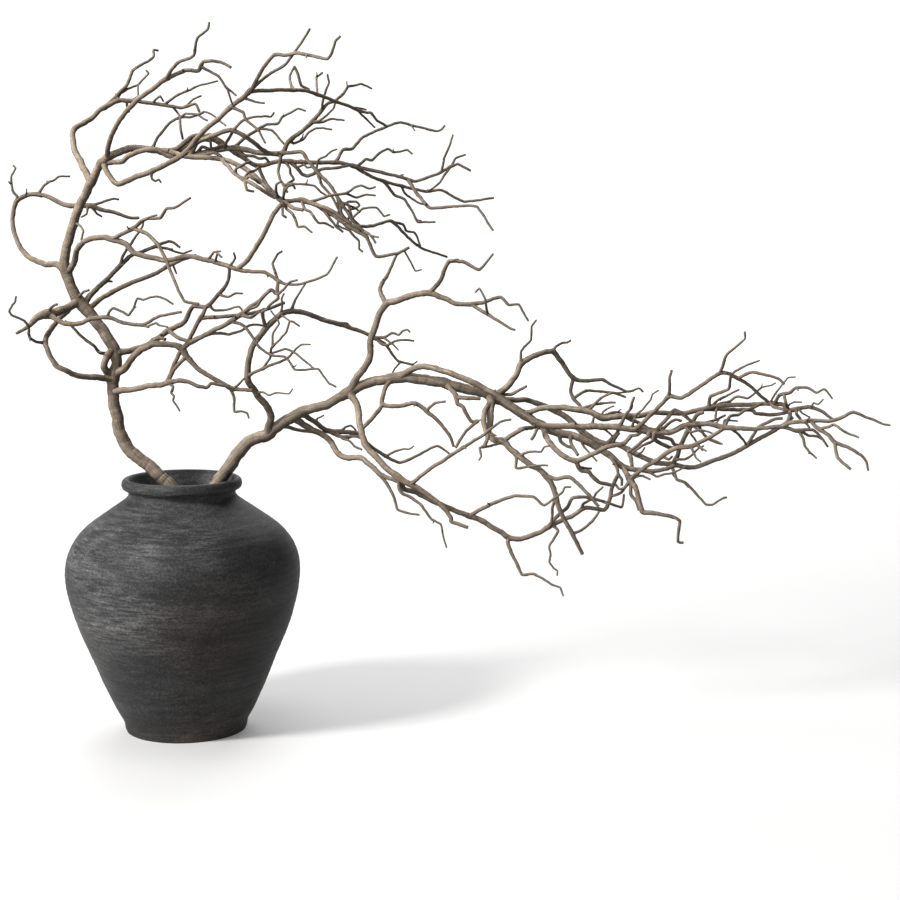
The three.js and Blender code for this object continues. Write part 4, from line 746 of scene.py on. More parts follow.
SPUR_SPACING = 150          # average distance between the short spurs along the thin limbs
SPUR_LENGTH = (4, 12)
SPUR_RADIUS = (0.9, 1.3)
SPUR_BENDS = 4
SPUR_TURN = 0.45
BEARING_RADIUS = 4.6        # no spur grows on a limb thicker than this,
BEARING_LENGTH = 45         # or shorter than this

NOISE_SPAN = 900            # limbs start at random places this far apart in the noise
PAINTED_LIGHT_SIDE = Vector((-0.42, -0.34, 0.84)).normalized()    # the side painted palest, as painted light; the side turned away is painted in shade
TAU = 2 * math.pi


class Limb:
    """A limb that has been laid out: its centre line, its radius along it, and what grows on it."""

    def __init__(self, name, parent, centres, radii):
        self.name = name
        self.parent = parent
        self.centres = centres
        self.radii = radii
        self.lengths = [0.0]
        for before, after in zip(centres, centres[1:]):
            self.lengths.append(self.lengths[-1] + (after - before).length)
        self.forks = []
        self.seed = Vector((0, 0, 0))

    def nearest(self, point):
        """The index of the sample closest to a point, as the front view shows them."""
        sight = (point - FRONT_VIEW_POINT).normalized()

        def distance(i):
            offset = self.centres[i] - FRONT_VIEW_POINT
            return (offset - sight * offset.dot(sight)).length_squared

        return min(range(len(self.centres)), key=distance)


def value_at(values, fraction):
    """The value at a fraction of the way along an evenly spaced list."""
    place = fraction * (len(values) - 1)
    below = min(int(place), len(values) - 2)
    return values[below] + (values[below + 1] - values[below]) * (place - below)


def placed(point, depth):
    """A drawn point, moved along its line of sight to a depth."""
    scale = (depth - FRONT_VIEW_POINT.y) / -FRONT_VIEW_POINT.y
    return FRONT_VIEW_POINT + (point - FRONT_VIEW_POINT) * scale


def curve_point(before, start, end, after, share):
    """A point on the smooth curve through four points, between the middle two."""
    square = share * share
    cube = square * share
    return 0.5 * (
        2 * start
        + (end - before) * share
        + (2 * before - 5 * start + 4 * end - after) * square
        + (3 * start - before - 3 * end + after) * cube
    )


def fineness(radius):
    return next((sides, step) for least, sides, step in FINENESS if radius >= least)


def sampled(points, radii, step):
    """Closely spaced centres and radii along a route, smooth where thick and angular where thin."""
    centres = []
    widths = []
    for i in range(len(points) - 1):
        start, end = points[i], points[i + 1]
        before = points[i - 1] if i else 2 * start - end
        after = points[i + 2] if i + 2 < len(points) else 2 * end - start
        steps = max(2, round((end - start).length / step))
        for j in range(steps + (i == len(points) - 2)):
            share = j / steps
            width = radii[i] + (radii[i + 1] - radii[i]) * share
            angular = SHARPNESS * max(0.0, 1 - width / SMOOTH_RADIUS)
            smooth = curve_point(before, start, end, after, share)
            centres.append(smooth.lerp(start.lerp(end, share), angular))
            widths.append(width)
    return centres, widths


def noise_place(chance):
    """A random place in the noise, so that no two limbs share a pattern."""
    return Vector([chance.uniform(0, NOISE_SPAN) for _ in range(3)])


def wander(centres, radii, chance):
    """Moves the centres sideways by smooth noise, but holds the start where it is."""
    seed = noise_place(chance)
    length = 0.0
    moved = [centres[0]]
    for i in range(1, len(centres)):
        length += (centres[i] - centres[i - 1]).length
        reach = min(1.0, length / WANDER_START)
        size = WANDER + WANDER_SHARE * radii[i]
        slow = noise.noise_vector(seed + Vector((length / SLOW_BENDS[0], 0, 0)))
        quick = noise.noise_vector(seed + Vector((0, length / QUICK_BENDS[0], 40)))
        aside = slow * size * SLOW_BENDS[1] + quick * size * QUICK_BENDS[1]
        moved.append(centres[i] + aside * reach)
    return moved


def lay_out(row, limbs, chance):
    """Turns a listed limb into a Limb, and notes the fork on its parent."""
    name, parent_name, radii, depths, route = row
    drawn = [Vector((route[i], 0, route[i + 1])) for i in range(0, len(route), 2)]
    spans = [0.0]
    for before, after in zip(drawn, drawn[1:]):
        spans.append(spans[-1] + (after - before).length)
    fractions = [span / spans[-1] for span in spans]
    parent = limbs.get(parent_name)
    if parent:
        fork = parent.nearest(drawn[0])
        depths = [parent.centres[fork].y] + [depth * DEPTH_SPREAD for depth in depths]
    points = [placed(point, value_at(depths, share)) for point, share in zip(drawn, fractions)]
    if parent:
        points[0] = parent.centres[fork].copy()
    widths = [value_at(radii, share) for share in fractions]
    centres, widths = sampled(points, widths, fineness(radii[0])[1])
    limb = Limb(name, parent, wander(centres, widths, chance), widths)
    limb.seed = noise_place(chance)
    if parent:
        parent.forks.append((parent.lengths[fork], radii[0]))
    if name:
        limbs[name] = limb
    return limb


def grown_spur(limb, chance):
    """A short, crooked spur from a random place on a limb, mostly towards the front or back."""
    place = chance.randrange(len(limb.centres) // 6, len(limb.centres) * 4 // 5)
    along = (limb.centres[place + 1] - limb.centres[place - 1]).normalized()
    facing = Vector((chance.uniform(-0.5, 0.5), chance.choice((-1, 1)), chance.uniform(-0.3, 0.6)))
    across = (facing - along * facing.dot(along)).normalized()
    heading = (across + along * chance.uniform(0.3, 1.1)).normalized()
    radius = min(SPUR_RADIUS[1], max(SPUR_RADIUS[0], limb.radii[place] * 0.62))
    points = [limb.centres[place].copy()]
    stretch = chance.uniform(*SPUR_LENGTH) / SPUR_BENDS
    for _ in range(SPUR_BENDS):
        turn = Vector([chance.uniform(-SPUR_TURN, SPUR_TURN) for _ in range(3)])
        heading = (heading + turn).normalized()
        points.append(points[-1] + heading * stretch)
    widths = [radius * share for share in (1, 0.95, 0.9, 0.85, 0.75)]
    centres, widths = sampled(points, widths, fineness(radius)[1])
    spur = Limb("", limb, centres, widths)
    spur.seed = noise_place(chance)
    limb.forks.append((limb.lengths[place], radius))
    return spur


def spurs_of(limb, chance):
    """The spurs that grow along one limb, more of them on a longer one."""
    if limb.radii[0] > BEARING_RADIUS or limb.lengths[-1] < BEARING_LENGTH:
        return []
    count = int(limb.lengths[-1] / SPUR_SPACING + chance.random())
    return [grown_spur(limb, chance) for _ in range(count)]


def all_limbs():
    """Every node's limbs: the main ones, the listed twigs, and the spurs."""
    noise.seed_set(23)      # without it, noise_vector is different in each run
    chance = random.Random(41)
    limbs = {}
    by_node = {}
    for node, rows in LIMBS.items():
        by_node[node] = [lay_out(row, limbs, chance) for row in rows]
    for node, rows in TWIGS.items():
        by_node[node] += [lay_out(row, limbs, chance) for row in rows]
    for node in by_node:
        by_node[node] += [spur for limb in list(by_node[node]) for spur in spurs_of(limb, chance)]
    return by_node


# ---------------------------------------------------------------- bark

def smoothstep(low, high, value):
    share = min(1.0, max(0.0, (value - low) / (high - low)))
    return share * share * (3 - 2 * share)


def swelling(limb, nodes, length, radius):
    """How much wider a limb is at a length along it, at its nodes and where others leave it."""
    wider = 0.0
    for place, size, reach in nodes:
        if abs(length - place) < 3 * reach:
            wider += size * math.exp(-((length - place) / reach) ** 2)
    wider *= 1 - 0.6 * smoothstep(3, 8, radius)
    for place, grown in limb.forks:
        reach = 1.6 * grown + 1.5
        if abs(length - place) < 3 * reach:
            share = min(1.0, grown / radius) ** 1.5
            wider += FORK_SWELLING * share * math.exp(-((length - place) / reach) ** 2)
    return min(wider, MOST_SWELLING)


def collar(limb, length):
    """How much wider a limb is near its start, where it leaves its parent's bark."""
    if limb.parent is None:
        return 0.0
    parent_radius = limb.parent.radii[limb.parent.nearest(limb.centres[0])]
    radius = limb.radii[0]
    beyond = max(0.0, length - 0.75 * parent_radius)
    room = max(0.0, 0.96 * parent_radius / radius - 1)
    return min(COLLAR, room) * math.exp(-beyond / (0.9 * radius + 0.6))


def surface_noise(limb, angle, length, radius):
    """Ridges along the limb, and lumps, as a share of its radius."""
    round_x, round_y = math.cos(angle), math.sin(angle)
    tight = 1.1 + 0.22 * radius

    def at(density, along):
        return noise.noise(limb.seed + Vector((round_x * density, round_y * density, along)))

    ridge = RIDGE_DEPTH * at(tight, length / RIDGE_LENGTH)
    groove = 0.6 * RIDGE_DEPTH * at(tight * 2.3, length / GROOVE_LENGTH) * smoothstep(2, 6, radius)
    lump = LUMP_DEPTH * at(0.9, 50 + length / (2.5 + radius))
    return ridge + groove + lump


class Mesh:
    """Vertices, faces and bark attributes of one piece, gathered before it becomes an object."""

    def __init__(self):
        self.vertices = []
        self.faces = []
        self.grain = []
        self.thinness = []
        self.knot = []
        self.painted_light = []

    def add(self, point, grain, thinness, knot, painted_light):
        self.vertices.append(point * MM)
        self.grain.append(grain)
        self.thinness.append(thinness)
        self.knot.append(knot)
        self.painted_light.append(painted_light)
        return len(self.vertices) - 1


def end_rings(radius, blunt):
    """Offsets and width shares of the rings that round off a limb's end."""
    if blunt:
        return [(0.0, 0.96), (0.10 * radius, 0.80), (0.12 * radius, 0.4)]
    return [(0.35 * radius, 0.93), (0.70 * radius, 0.72), (0.92 * radius, 0.40)]


def add_tube(mesh, limb, chance):
    """Adds one limb to a mesh as a closed, knotty tube."""
    sides, _ = fineness(limb.radii[0])
    nodes = []
    place = chance.uniform(*NODE_SPACING)
    while place < limb.lengths[-1]:
        size = NODE_SWELLING * chance.uniform(*NODE_SHARE)
        nodes.append((place, size, chance.uniform(*NODE_REACH)))
        place += chance.uniform(*NODE_SPACING)
    twist = chance.uniform(-1, 1) / TWIST_LENGTH
    oval = chance.uniform(0.0, MOST_OVAL)
    across = Vector((0.0, 1.0, 0.0))
    rings = []
    last = len(limb.centres) - 1
    is_blunt = limb.radii[-1] >= BLUNT_RADIUS

    def ring(centre, along, length, radius, width):
        """One ring round the limb, turned as little as can be against the ring before it."""
        nonlocal across
        across = (across - along * across.dot(along)).normalized()
        up = along.cross(across)
        swollen = swelling(limb, nodes, length, radius)
        knot = min(1.0, swollen / KNOTTY)
        thinness = 1 - smoothstep(*THIN_RADII, radius)
        row = []
        for side in range(sides):
            angle = TAU * side / sides
            turned = angle + twist * length
            rough = surface_noise(limb, angle, length, radius)
            share = width * (1 + swollen + collar_here + rough)
            share *= 1 + oval * math.cos(2 * turned)
            outward = across * math.cos(angle) + up * math.sin(angle)
            point = centre + outward * (radius * share)
            round_grain = (math.cos(turned) * radius, math.sin(turned) * radius, length)
            # painted light and shade: how far this vertex faces the lit side, which the bark colour
            # turns pale or dark
            painted_light = 0.5 + 0.5 * outward.dot(PAINTED_LIGHT_SIDE)
            row.append(mesh.add(point, limb.seed + Vector(round_grain), thinness, knot, painted_light))
        rings.append(row)

    start_along = (limb.centres[1] - limb.centres[0]).normalized()
    collar_here = collar(limb, 0.0)
    for offset, width in reversed(end_rings(limb.radii[0], True)):
        ring(limb.centres[0] - start_along * offset, start_along, 0.0, limb.radii[0], width)
    for i in range(last + 1):
        collar_here = collar(limb, limb.lengths[i])
        along = (limb.centres[min(i + 1, last)] - limb.centres[max(i - 1, 0)]).normalized()
        ring(limb.centres[i], along, limb.lengths[i], limb.radii[i], 1.0)
    end_along = (limb.centres[last] - limb.centres[last - 1]).normalized()
    for offset, width in end_rings(limb.radii[-1], is_blunt):
        centre = limb.centres[last] + end_along * offset
        ring(centre, end_along, limb.lengths[-1] + offset, limb.radii[-1], width)

    for lower, upper in zip(rings, rings[1:]):
        for side in range(sides):
            following = (side + 1) % sides
            mesh.faces.append((lower[side], lower[following], upper[following], upper[side]))
    mesh.faces.append(tuple(reversed(rings[0])))
    mesh.faces.append(tuple(rings[-1]))


def bark_piece(node, limbs, chance):
    """One node's bark: all its tubes joined in one object, which stands for the plain solid."""
    mesh = Mesh()
    for limb in limbs:
        add_tube(mesh, limb, chance)
    data = bpy.data.meshes.new("bark_" + node)
    data.from_pydata(mesh.vertices, [], mesh.faces)
    data.attributes.new("grain", "FLOAT_VECTOR", "POINT")
    grain_values = [value for place in mesh.grain for value in place]
    data.attributes["grain"].data.foreach_set("vector", grain_values)
    for name in ("thinness", "knot", "painted_light"):
        data.attributes.new(name, "FLOAT", "POINT")
        data.attributes[name].data.foreach_set("value", getattr(mesh, name))
    data.shade_smooth()
    piece = bpy.data.objects.new("bark_" + node, data)
    bpy.context.scene.collection.objects.link(piece)
    return piece


# ---------------------------------------------------------------- materials

class Nodes:
    """A material's node tree, with short ways to add and join nodes."""

    def __init__(self, name):
        self.material = bpy.data.materials.new(name)
        self.material.use_nodes = True
        self.tree = self.material.node_tree
        self.shader = self.tree.nodes["Principled BSDF"]

    def add(self, kind, inputs=(), **settings):
        node = self.tree.nodes.new(kind)
        for name, value in settings.items():
            setattr(node, name, value)
        for key, value in dict(inputs).items():
            self.feed(node.inputs[key], value)
        return node

    def feed(self, socket, value):
        if isinstance(value, bpy.types.NodeSocket):
            self.tree.links.new(value, socket)
        else:
            socket.default_value = value

    def attribute(self, name, output):
        return self.add("ShaderNodeAttribute", attribute_name=name).outputs[output]

    def scaled(self, vector, scale):
        mapping = self.add("ShaderNodeMapping", {"Vector": vector, "Scale": scale})
        return mapping.outputs["Vector"]

    def noise(self, vector, scale, detail=4.0, roughness=0.55):
        inputs = {"Vector": vector, "Scale": scale, "Detail": detail, "Roughness": roughness}
        return self.add("ShaderNodeTexNoise", inputs).outputs["Fac"]

    def ramp(self, factor, stops):
        node = self.add("ShaderNodeValToRGB", {"Fac": factor})
        elements = node.color_ramp.elements
        while len(elements) < len(stops):
            elements.new(0.5)
        for element, (position, colour) in zip(elements, stops):
            element.position = position
            rgb = colour if isinstance(colour, tuple) else (colour, colour, colour)
            element.color = (*rgb, 1)
        return node.outputs["Color"]

    def mix(self, factor, first, second, blend="MIX"):
        node = self.add("ShaderNodeMix", data_type="RGBA", blend_type=blend)
        self.feed(node.inputs[0], factor)
        self.feed(node.inputs[6], first)
        self.feed(node.inputs[7], second)
        return node.outputs[2]

    def maths(self, operation, first, second=0.0, third=0.0):
        node = self.add("ShaderNodeMath", {0: first, 1: second, 2: third}, operation=operation)
        return node.outputs[0]

    def near(self, vector, point, far, close):
        """1 within the close distance of a point, falling to 0 at the far distance."""
        away = self.add("ShaderNodeVectorMath", {0: vector, 1: point}, operation="DISTANCE")
        inputs = {"Value": away.outputs["Value"], "From Min": far, "From Max": close}
        return self.add("ShaderNodeMapRange", inputs).outputs["Result"]

    def bump(self, height, distance, strength, normal=None):
        inputs = {"Height": height, "Distance": distance, "Strength": strength}
        if normal is not None:
            inputs["Normal"] = normal
        return self.add("ShaderNodeBump", inputs).outputs["Normal"]


def bark_material():
    """Dry greyish-brown bark: pale fibres, darker grooves, knots and twigs, painted light on the
    upper left and painted shade beneath.
    """
    bark = Nodes("dry bark")
    grain = bark.attribute("grain", "Vector")
    thinness = bark.attribute("thinness", "Fac")
    knot = bark.attribute("knot", "Fac")
    painted_light = bark.attribute("painted_light", "Fac")
    fibres = bark.noise(bark.scaled(grain, (1, 1, 0.055)), 1.15, 6.0, 0.62)
    fine_fibres = bark.noise(bark.scaled(grain, (1, 1, 0.12)), 3.6, 4.0, 0.6)
    patches = bark.noise(bark.scaled(grain, (0.3, 0.3, 0.10)), 0.38, 3.0, 0.5)
    rings = bark.noise(bark.scaled(grain, (0.05, 0.05, 1)), 0.55, 3.0, 0.6)
    flecks = bark.noise(grain, 1.9, 3.0, 0.7)

    pale = bark.ramp(fibres, [(0.30, (0.110, 0.082, 0.058)), (0.44, (0.228, 0.184, 0.139)),
                              (0.58, (0.342, 0.288, 0.227)), (0.74, (0.510, 0.450, 0.376))])
    brown = bark.ramp(fibres, [(0.30, (0.055, 0.038, 0.027)), (0.48, (0.115, 0.085, 0.062)),
                               (0.70, (0.220, 0.175, 0.134))])
    patchy = bark.ramp(patches, [(0.42, 0.0), (0.62, 1.0)])
    colour = bark.mix(bark.maths("MULTIPLY", patchy, 0.45), pale, brown)
    colour = bark.mix(bark.maths("MULTIPLY", thinness, 0.60), colour, brown)
    grooves = bark.ramp(fine_fibres, [(0.34, 0.0), (0.52, 1.0)])
    colour = bark.mix(0.38, colour, grooves, "MULTIPLY")
    bands = bark.ramp(rings, [(0.36, (0.62, 0.58, 0.54)), (0.50, (1.0, 1.0, 1.0))])
    colour = bark.mix(0.35, colour, bands, "MULTIPLY")
    colour = bark.mix(bark.maths("MULTIPLY", knot, 0.28), colour, (0.085, 0.060, 0.043, 1))
    # painted light and shade: the limbs are painted pale on the side facing the key lamp and dark
    # beneath it, broken up a little by the patches
    uneven = bark.maths("MULTIPLY", bark.maths("SUBTRACT", patches, 0.5), 0.35)
    edge = bark.maths("ADD", painted_light, uneven)
    painted_light_and_shade = bark.ramp(edge, [(0.14, (0.17, 0.155, 0.140)), (0.42, (0.38, 0.36, 0.34)),
                                 (0.66, (0.95, 0.94, 0.93)), (0.92, (1.42, 1.41, 1.39))])
    colour = bark.mix(1.0, colour, painted_light_and_shade, "MULTIPLY")
    by_thinness = bark.ramp(thinness, [(0.0, 1.02), (0.35, 1.12), (0.75, 1.0), (1.0, 0.90)])
    colour = bark.mix(1.0, colour, by_thinness, "MULTIPLY")
    # painted shade: the upper left trunk, nearest the key lamp, is painted darker
    place = bark.add("ShaderNodeTexCoord").outputs["Object"]
    painted_shade_trunk = bark.near(place, (-0.10, 0.0, 0.53), 0.36, 0.14)
    colour = bark.mix(painted_shade_trunk, colour, (0.78, 0.765, 0.75, 1), "MULTIPLY")
    dots = bark.ramp(flecks, [(0.27, (0.35, 0.30, 0.26)), (0.36, (1.0, 1.0, 1.0))])
    colour = bark.mix(0.5, colour, dots, "MULTIPLY")

    shader = bark.shader
    bark.feed(shader.inputs["Base Color"], colour)
    roughness = bark.add("ShaderNodeMapRange", {"Value": fibres, "To Min": 0.92, "To Max": 0.70})
    bark.feed(shader.inputs["Roughness"], roughness.outputs["Result"])
    shader.inputs["Specular IOR Level"].default_value = 0.28
    coarse = bark.bump(fibres, 0.0006, 0.75)
    fine = bark.bump(fine_fibres, 0.00025, 0.6, coarse)
    bark.feed(shader.inputs["Normal"], bark.bump(rings, 0.0003, 0.35, fine))
    return bark.material


def stoneware_material():
    """Matte charcoal slip, brushed round the body, with pale dry streaks and fine speckle.

    It has a painted highlight on the left of the belly, where the pale dry streaks are
    strengthened, warm brown patches low on the body and a painted warm reflection in front, painted
    shade low on the right, and painted light on the inside within the neck's width.
    """
    clay = Nodes("charcoal stoneware")
    place = clay.add("ShaderNodeTexCoord").outputs["Object"]
    wide_streaks = clay.noise(clay.scaled(place, (9, 9, 38)), 1.0, 7.0, 0.70)
    fine_streaks = clay.noise(clay.scaled(place, (34, 34, 330)), 1.0, 6.0, 0.70)
    clouds = clay.noise(clay.scaled(place, (7, 7, 11)), 1.0, 5.0, 0.60)
    speckle = clay.noise(place, 330.0, 5.0, 0.75)
    grit = clay.noise(place, 1500.0, 2.0, 0.6)

    colour = clay.ramp(wide_streaks, [
        (0.28, (0.0145, 0.0147, 0.0154)), (0.46, (0.0250, 0.0253, 0.0262)),
        (0.60, (0.0380, 0.0383, 0.0392)), (0.76, (0.0700, 0.0703, 0.0710))])
    dry = clay.ramp(fine_streaks, [(0.42, 0.0), (0.68, 1.0)])
    dry_streaks_and_highlight = clay.maths("MULTIPLY", dry, clay.ramp(clouds, [(0.40, 0.10), (0.62, 0.62)]))
    # painted highlight: the pale dry streaks are made stronger on the left of the belly, where the
    # key lamp falls
    painted_highlight = clay.near(place, (-0.090, -0.115, 0.245), 0.19, 0.04)
    dry_streaks_and_highlight = clay.maths("MULTIPLY", dry_streaks_and_highlight, clay.maths("MULTIPLY_ADD", painted_highlight, 1.15, 0.24))
    colour = clay.mix(dry_streaks_and_highlight, colour, (0.165, 0.165, 0.166, 1))
    dull = clay.ramp(clouds, [(0.34, (0.72, 0.72, 0.73)), (0.50, (1.0, 1.0, 1.0)),
                              (0.68, (1.28, 1.28, 1.27))])
    colour = clay.mix(0.8, colour, dull, "MULTIPLY")
    spots = clay.ramp(speckle, [(0.38, (0.36, 0.36, 0.37)), (0.52, (1.0, 1.0, 1.0)),
                                (0.67, (2.1, 2.08, 2.04))])
    colour = clay.mix(0.68, colour, spots, "MULTIPLY")
    height = clay.add("ShaderNodeSeparateXYZ", {"Vector": place}).outputs["Z"]
    low = clay.add("ShaderNodeMapRange", {"Value": height, "From Min": 0.20, "From Max": 0.03})
    patches = clay.ramp(clouds, [(0.45, 0.0), (0.60, 0.75)])
    warmth = clay.maths("MULTIPLY", low.outputs["Result"], patches)
    # painted reflection: a warm brown patch on the front of the belly, added to the warm patches
    # low on the body
    painted_reflection = clay.near(place, (0.055, -0.125, 0.165), 0.105, 0.02)
    warmth = clay.maths("MAXIMUM", warmth, clay.maths("MULTIPLY", painted_reflection, 0.9))
    colour = clay.mix(warmth, colour, (1.05, 0.86, 0.70, 1), "MULTIPLY")
    # painted shade: darker low on the right of the body
    painted_shade_right = clay.near(place, (0.150, -0.075, 0.130), 0.205, 0.06)
    colour = clay.mix(painted_shade_right, colour, (0.50, 0.495, 0.49, 1), "MULTIPLY")
    # painted light: the inside of the vase, within the neck's width, is painted paler
    painted_light_inside = clay.near(clay.scaled(place, (1, 1, 0)), (0, 0, 0), 0.0730, 0.0710)
    colour = clay.mix(painted_light_inside, colour, (1.9, 1.9, 1.9, 1), "MULTIPLY")

    shader = clay.shader
    clay.feed(shader.inputs["Base Color"], colour)
    roughness = clay.add("ShaderNodeMapRange", {"Value": speckle, "To Min": 0.50, "To Max": 0.72})
    clay.feed(shader.inputs["Roughness"], roughness.outputs["Result"])
    shader.inputs["Specular IOR Level"].default_value = 0.17
    brushed = clay.bump(fine_streaks, 0.0008, 0.6)
    gritty = clay.bump(speckle, 0.0005, 0.75, brushed)
    clay.feed(shader.inputs["Normal"], clay.bump(grit, 0.00015, 0.4, gritty))
    return clay.material


def floor_material():
    plain = Nodes("pale floor")
    plain.shader.inputs["Base Color"].default_value = (0.64, 0.64, 0.64, 1)
    plain.shader.inputs["Emission Color"].default_value = (1, 1, 1, 1)
    plain.shader.inputs["Emission Strength"].default_value = 0.10
    plain.shader.inputs["Roughness"].default_value = 0.9
    plain.shader.inputs["Specular IOR Level"].default_value = 0.1
    return plain.material


# ---------------------------------------------------------------- vase

VASE_SIDES = 200
PROFILE_STEP = 2.3          # distance between the points of the finished outline
WALL_UNEVENNESS = 0.9       # how far the thrown wall strays from a true round
DENT_DEPTH = 0.35
RING_HEIGHT = 0.28          # height of the throwing rings
RING_DRIFT = 2.5            # how far a ring strays up and down on its way round
RING_PITCH = 9.0
PLAIN_FOOT = (4, 22)        # heights in which the unevenness sets in above the foot,
PLAIN_NECK = (325, 338)     # and in which it ends below the lip
PLAIN_MIDDLE = (40, 70)     # radii in which it sets in on the underside and the floor inside

# The vase's outline, as radius and height in millimetres, from the middle of its underside, up the
# outside, over the rolled lip and down the inside to the middle of its floor.
OUTLINE = [
    (0, 0), (50, 0), (81, 0), (84.5, 0.8), (86, 3.5), (86.8, 9), (87.4, 13), (90.5, 19), (95, 27),
    (106, 50), (116.8, 75), (127, 100), (137.6, 125), (147.5, 150), (156.5, 180), (162.3, 205),
    (164.4, 228), (161.5, 249), (152.5, 270), (135.5, 290), (108.5, 310), (85.5, 326), (77, 333),
    (74.6, 338), (75.4, 342.2), (79, 344), (82.4, 346.2), (84, 351), (83, 356), (80, 359.2),
    (76.6, 359.8), (73.4, 357.4), (70.2, 351), (66.4, 343), (65.6, 337), (67.5, 331), (79, 318),
    (97.5, 302), (126, 281), (142, 261), (152, 240), (155.5, 226), (153, 200), (145.5, 172),
    (132, 132), (118, 100), (99, 58), (83, 26), (77, 14), (71, 10), (40, 10), (0, 10),
]
SHARP_UNTIL = 3             # the first points of the outline are the flat underside


def fine_outline():
    """The outline as a smooth curve, in closely spaced points."""
    points = [Vector((radius, height)) for radius, height in OUTLINE]
    fine = []
    for i in range(len(points) - 1):
        before = points[max(i - 1, 0)]
        after = points[min(i + 2, len(points) - 1)]
        steps = max(1, round((points[i + 1] - points[i]).length / PROFILE_STEP))
        for j in range(steps):
            share = j / steps
            if i < SHARP_UNTIL - 1:
                fine.append(points[i].lerp(points[i + 1], share))
            else:
                fine.append(curve_point(before, points[i], points[i + 1], after, share))
    return fine[1:]


def thrown_wall(radius, height, angle):
    """How far the hand-thrown wall strays at a place, in millimetres."""
    place = Vector((math.cos(angle), math.sin(angle), height / 70))
    uneven = WALL_UNEVENNESS * noise.noise(place * 1.4 + Vector((11, 3, 7)))
    drift = RING_DRIFT * noise.noise(Vector((math.cos(angle), math.sin(angle), height / 40 + 20)))
    rings = RING_HEIGHT * math.sin(TAU * (height + drift) / RING_PITCH)
    rings *= 0.4 + 0.6 * noise.noise(place * 2.2 + Vector((40, 9, 2)))
    close = Vector((math.cos(angle) * 5, math.sin(angle) * 5, height / 14))
    dents = DENT_DEPTH * noise.noise(close)
    body = smoothstep(*PLAIN_FOOT, height) * (1 - smoothstep(*PLAIN_NECK, height))
    return body * (uneven + rings + dents) * smoothstep(*PLAIN_MIDDLE, radius)


def vase_piece():
    """The thrown vase, one closed skin from its underside to the floor inside it."""
    vertices = [Vector((0, 0, 0))]
    faces = []
    rings = []
    for point in fine_outline():
        row = []
        for side in range(VASE_SIDES):
            angle = TAU * side / VASE_SIDES
            radius = point.x + thrown_wall(point.x, point.y, angle)
            place = Vector((radius * math.cos(angle), radius * math.sin(angle), point.y))
            row.append(len(vertices))
            vertices.append(place * MM)
        rings.append(row)
    top = len(vertices)
    vertices.append(Vector((0, 0, OUTLINE[-1][1] * MM)))
    for side in range(VASE_SIDES):
        following = (side + 1) % VASE_SIDES
        faces.append((0, rings[0][following], rings[0][side]))
        faces.append((top, rings[-1][side], rings[-1][following]))
        for lower, upper in zip(rings, rings[1:]):
            faces.append((lower[side], lower[following], upper[following], upper[side]))
    data = bpy.data.meshes.new("thrown_vase")
    data.from_pydata(vertices, [], faces)
    data.shade_smooth()
    piece = bpy.data.objects.new("thrown_vase", data)
    bpy.context.scene.collection.objects.link(piece)
    return piece


# ---------------------------------------------------------------- studio

CAMERA_TILT = 82.25         # degrees from straight down
CAMERA_LENS = 74.3
FLOOR_REACH = 7.5           # metres from the middle of the floor to its edges
LIGHT_AIM = (0.25, 0.0, 0.5)


def add_camera():
    camera = bpy.data.objects.new("camera", bpy.data.cameras.new("camera"))
    camera.location = FRONT_VIEW_POINT * MM
    camera.rotation_euler = (math.radians(CAMERA_TILT), 0, 0)
    camera.data.lens = CAMERA_LENS
    bpy.context.scene.collection.objects.link(camera)
    bpy.context.scene.camera = camera


def add_floor():
    data = bpy.data.meshes.new("floor")
    signs = ((-1, -1), (1, -1), (1, 1), (-1, 1))
    corners = [(FLOOR_REACH * x, FLOOR_REACH * y, 0) for x, y in signs]
    data.from_pydata(corners, [], [(0, 1, 2, 3)])
    data.materials.append(floor_material())
    floor = bpy.data.objects.new("floor", data)
    bpy.context.scene.collection.objects.link(floor)


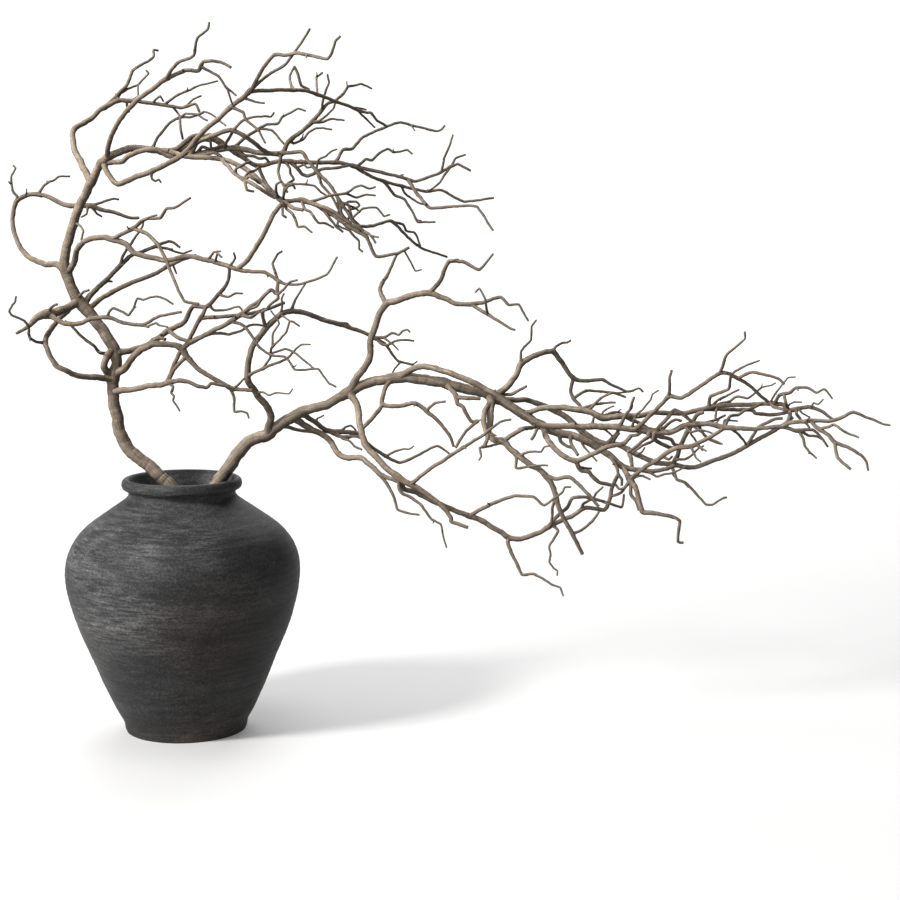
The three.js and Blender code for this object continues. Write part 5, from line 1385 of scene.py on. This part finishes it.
def add_light(name, place, size, power, aim=LIGHT_AIM, colour=(1.0, 1.0, 1.0)):
    light = bpy.data.objects.new(name, bpy.data.lights.new(name, "AREA"))
    light.data.size = size
    light.data.energy = power
    light.data.color = colour
    light.location = place
    light.rotation_euler = (Vector(aim) - Vector(place)).to_track_quat("-Z", "Y").to_euler()
    bpy.context.scene.collection.objects.link(light)


def white_room():
    """A plain room: white behind the object, brighter on the left than on the right."""
    world = bpy.data.worlds.new("white room")
    world.use_nodes = True
    tree = world.node_tree
    direction = tree.nodes.new("ShaderNodeTexCoord").outputs["Generated"]

    def side_brightness(towards, spread, strengths):
        dot = tree.nodes.new("ShaderNodeVectorMath")
        dot.operation = "DOT_PRODUCT"
        dot.inputs[1].default_value = Vector(towards).normalized()
        tree.links.new(direction, dot.inputs[0])
        fade = tree.nodes.new("ShaderNodeMapRange")
        fade.interpolation_type = "SMOOTHSTEP"
        tree.links.new(dot.outputs["Value"], fade.inputs["Value"])
        names = ("From Min", "From Max", "To Min", "To Max")
        for name, value in zip(names, (*spread, *strengths)):
            fade.inputs[name].default_value = value
        return fade.outputs["Result"]

    total = tree.nodes.new("ShaderNodeMath")
    from_left = side_brightness((-0.8, -0.35, 0.5), (-0.6, 0.9), (0.03, 0.62))
    from_behind = side_brightness((0, 1, 0), (0.78, 0.93), (0.0, 1.02))
    tree.links.new(from_left, total.inputs[0])
    tree.links.new(from_behind, total.inputs[1])
    tree.links.new(total.outputs[0], tree.nodes["Background"].inputs["Strength"])
    tree.nodes["Background"].inputs["Color"].default_value = (1.0, 1.0, 1.0, 1)
    return world


def add_studio():
    add_light("key", (-2.3, -1.8, 2.3), 0.7, 162, colour=(1.0, 0.99, 0.97))
    add_light("top", (0.0, 0.1, 3.2), 1.4, 20)
    add_light("backdrop", (0.4, 6.5, 5.0), 6.0, 560, aim=(0.4, 5.8, 0.0))
    bpy.context.scene.world = white_room()
    bpy.context.scene.view_settings.view_transform = "Standard"


# ---------------------------------------------------------------- the whole scene

def main():
    add_camera()
    add_floor()
    add_studio()

    vase = vase_piece()
    vase.data.materials.append(stoneware_material())
    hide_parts("vase")
    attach(vase, "root")

    bark = bark_material()
    chance = random.Random(7)
    for node, limbs in all_limbs().items():
        piece = bark_piece(node, limbs, chance)
        piece.data.materials.append(bark)
        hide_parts(node)
        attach(piece, "root")


main()
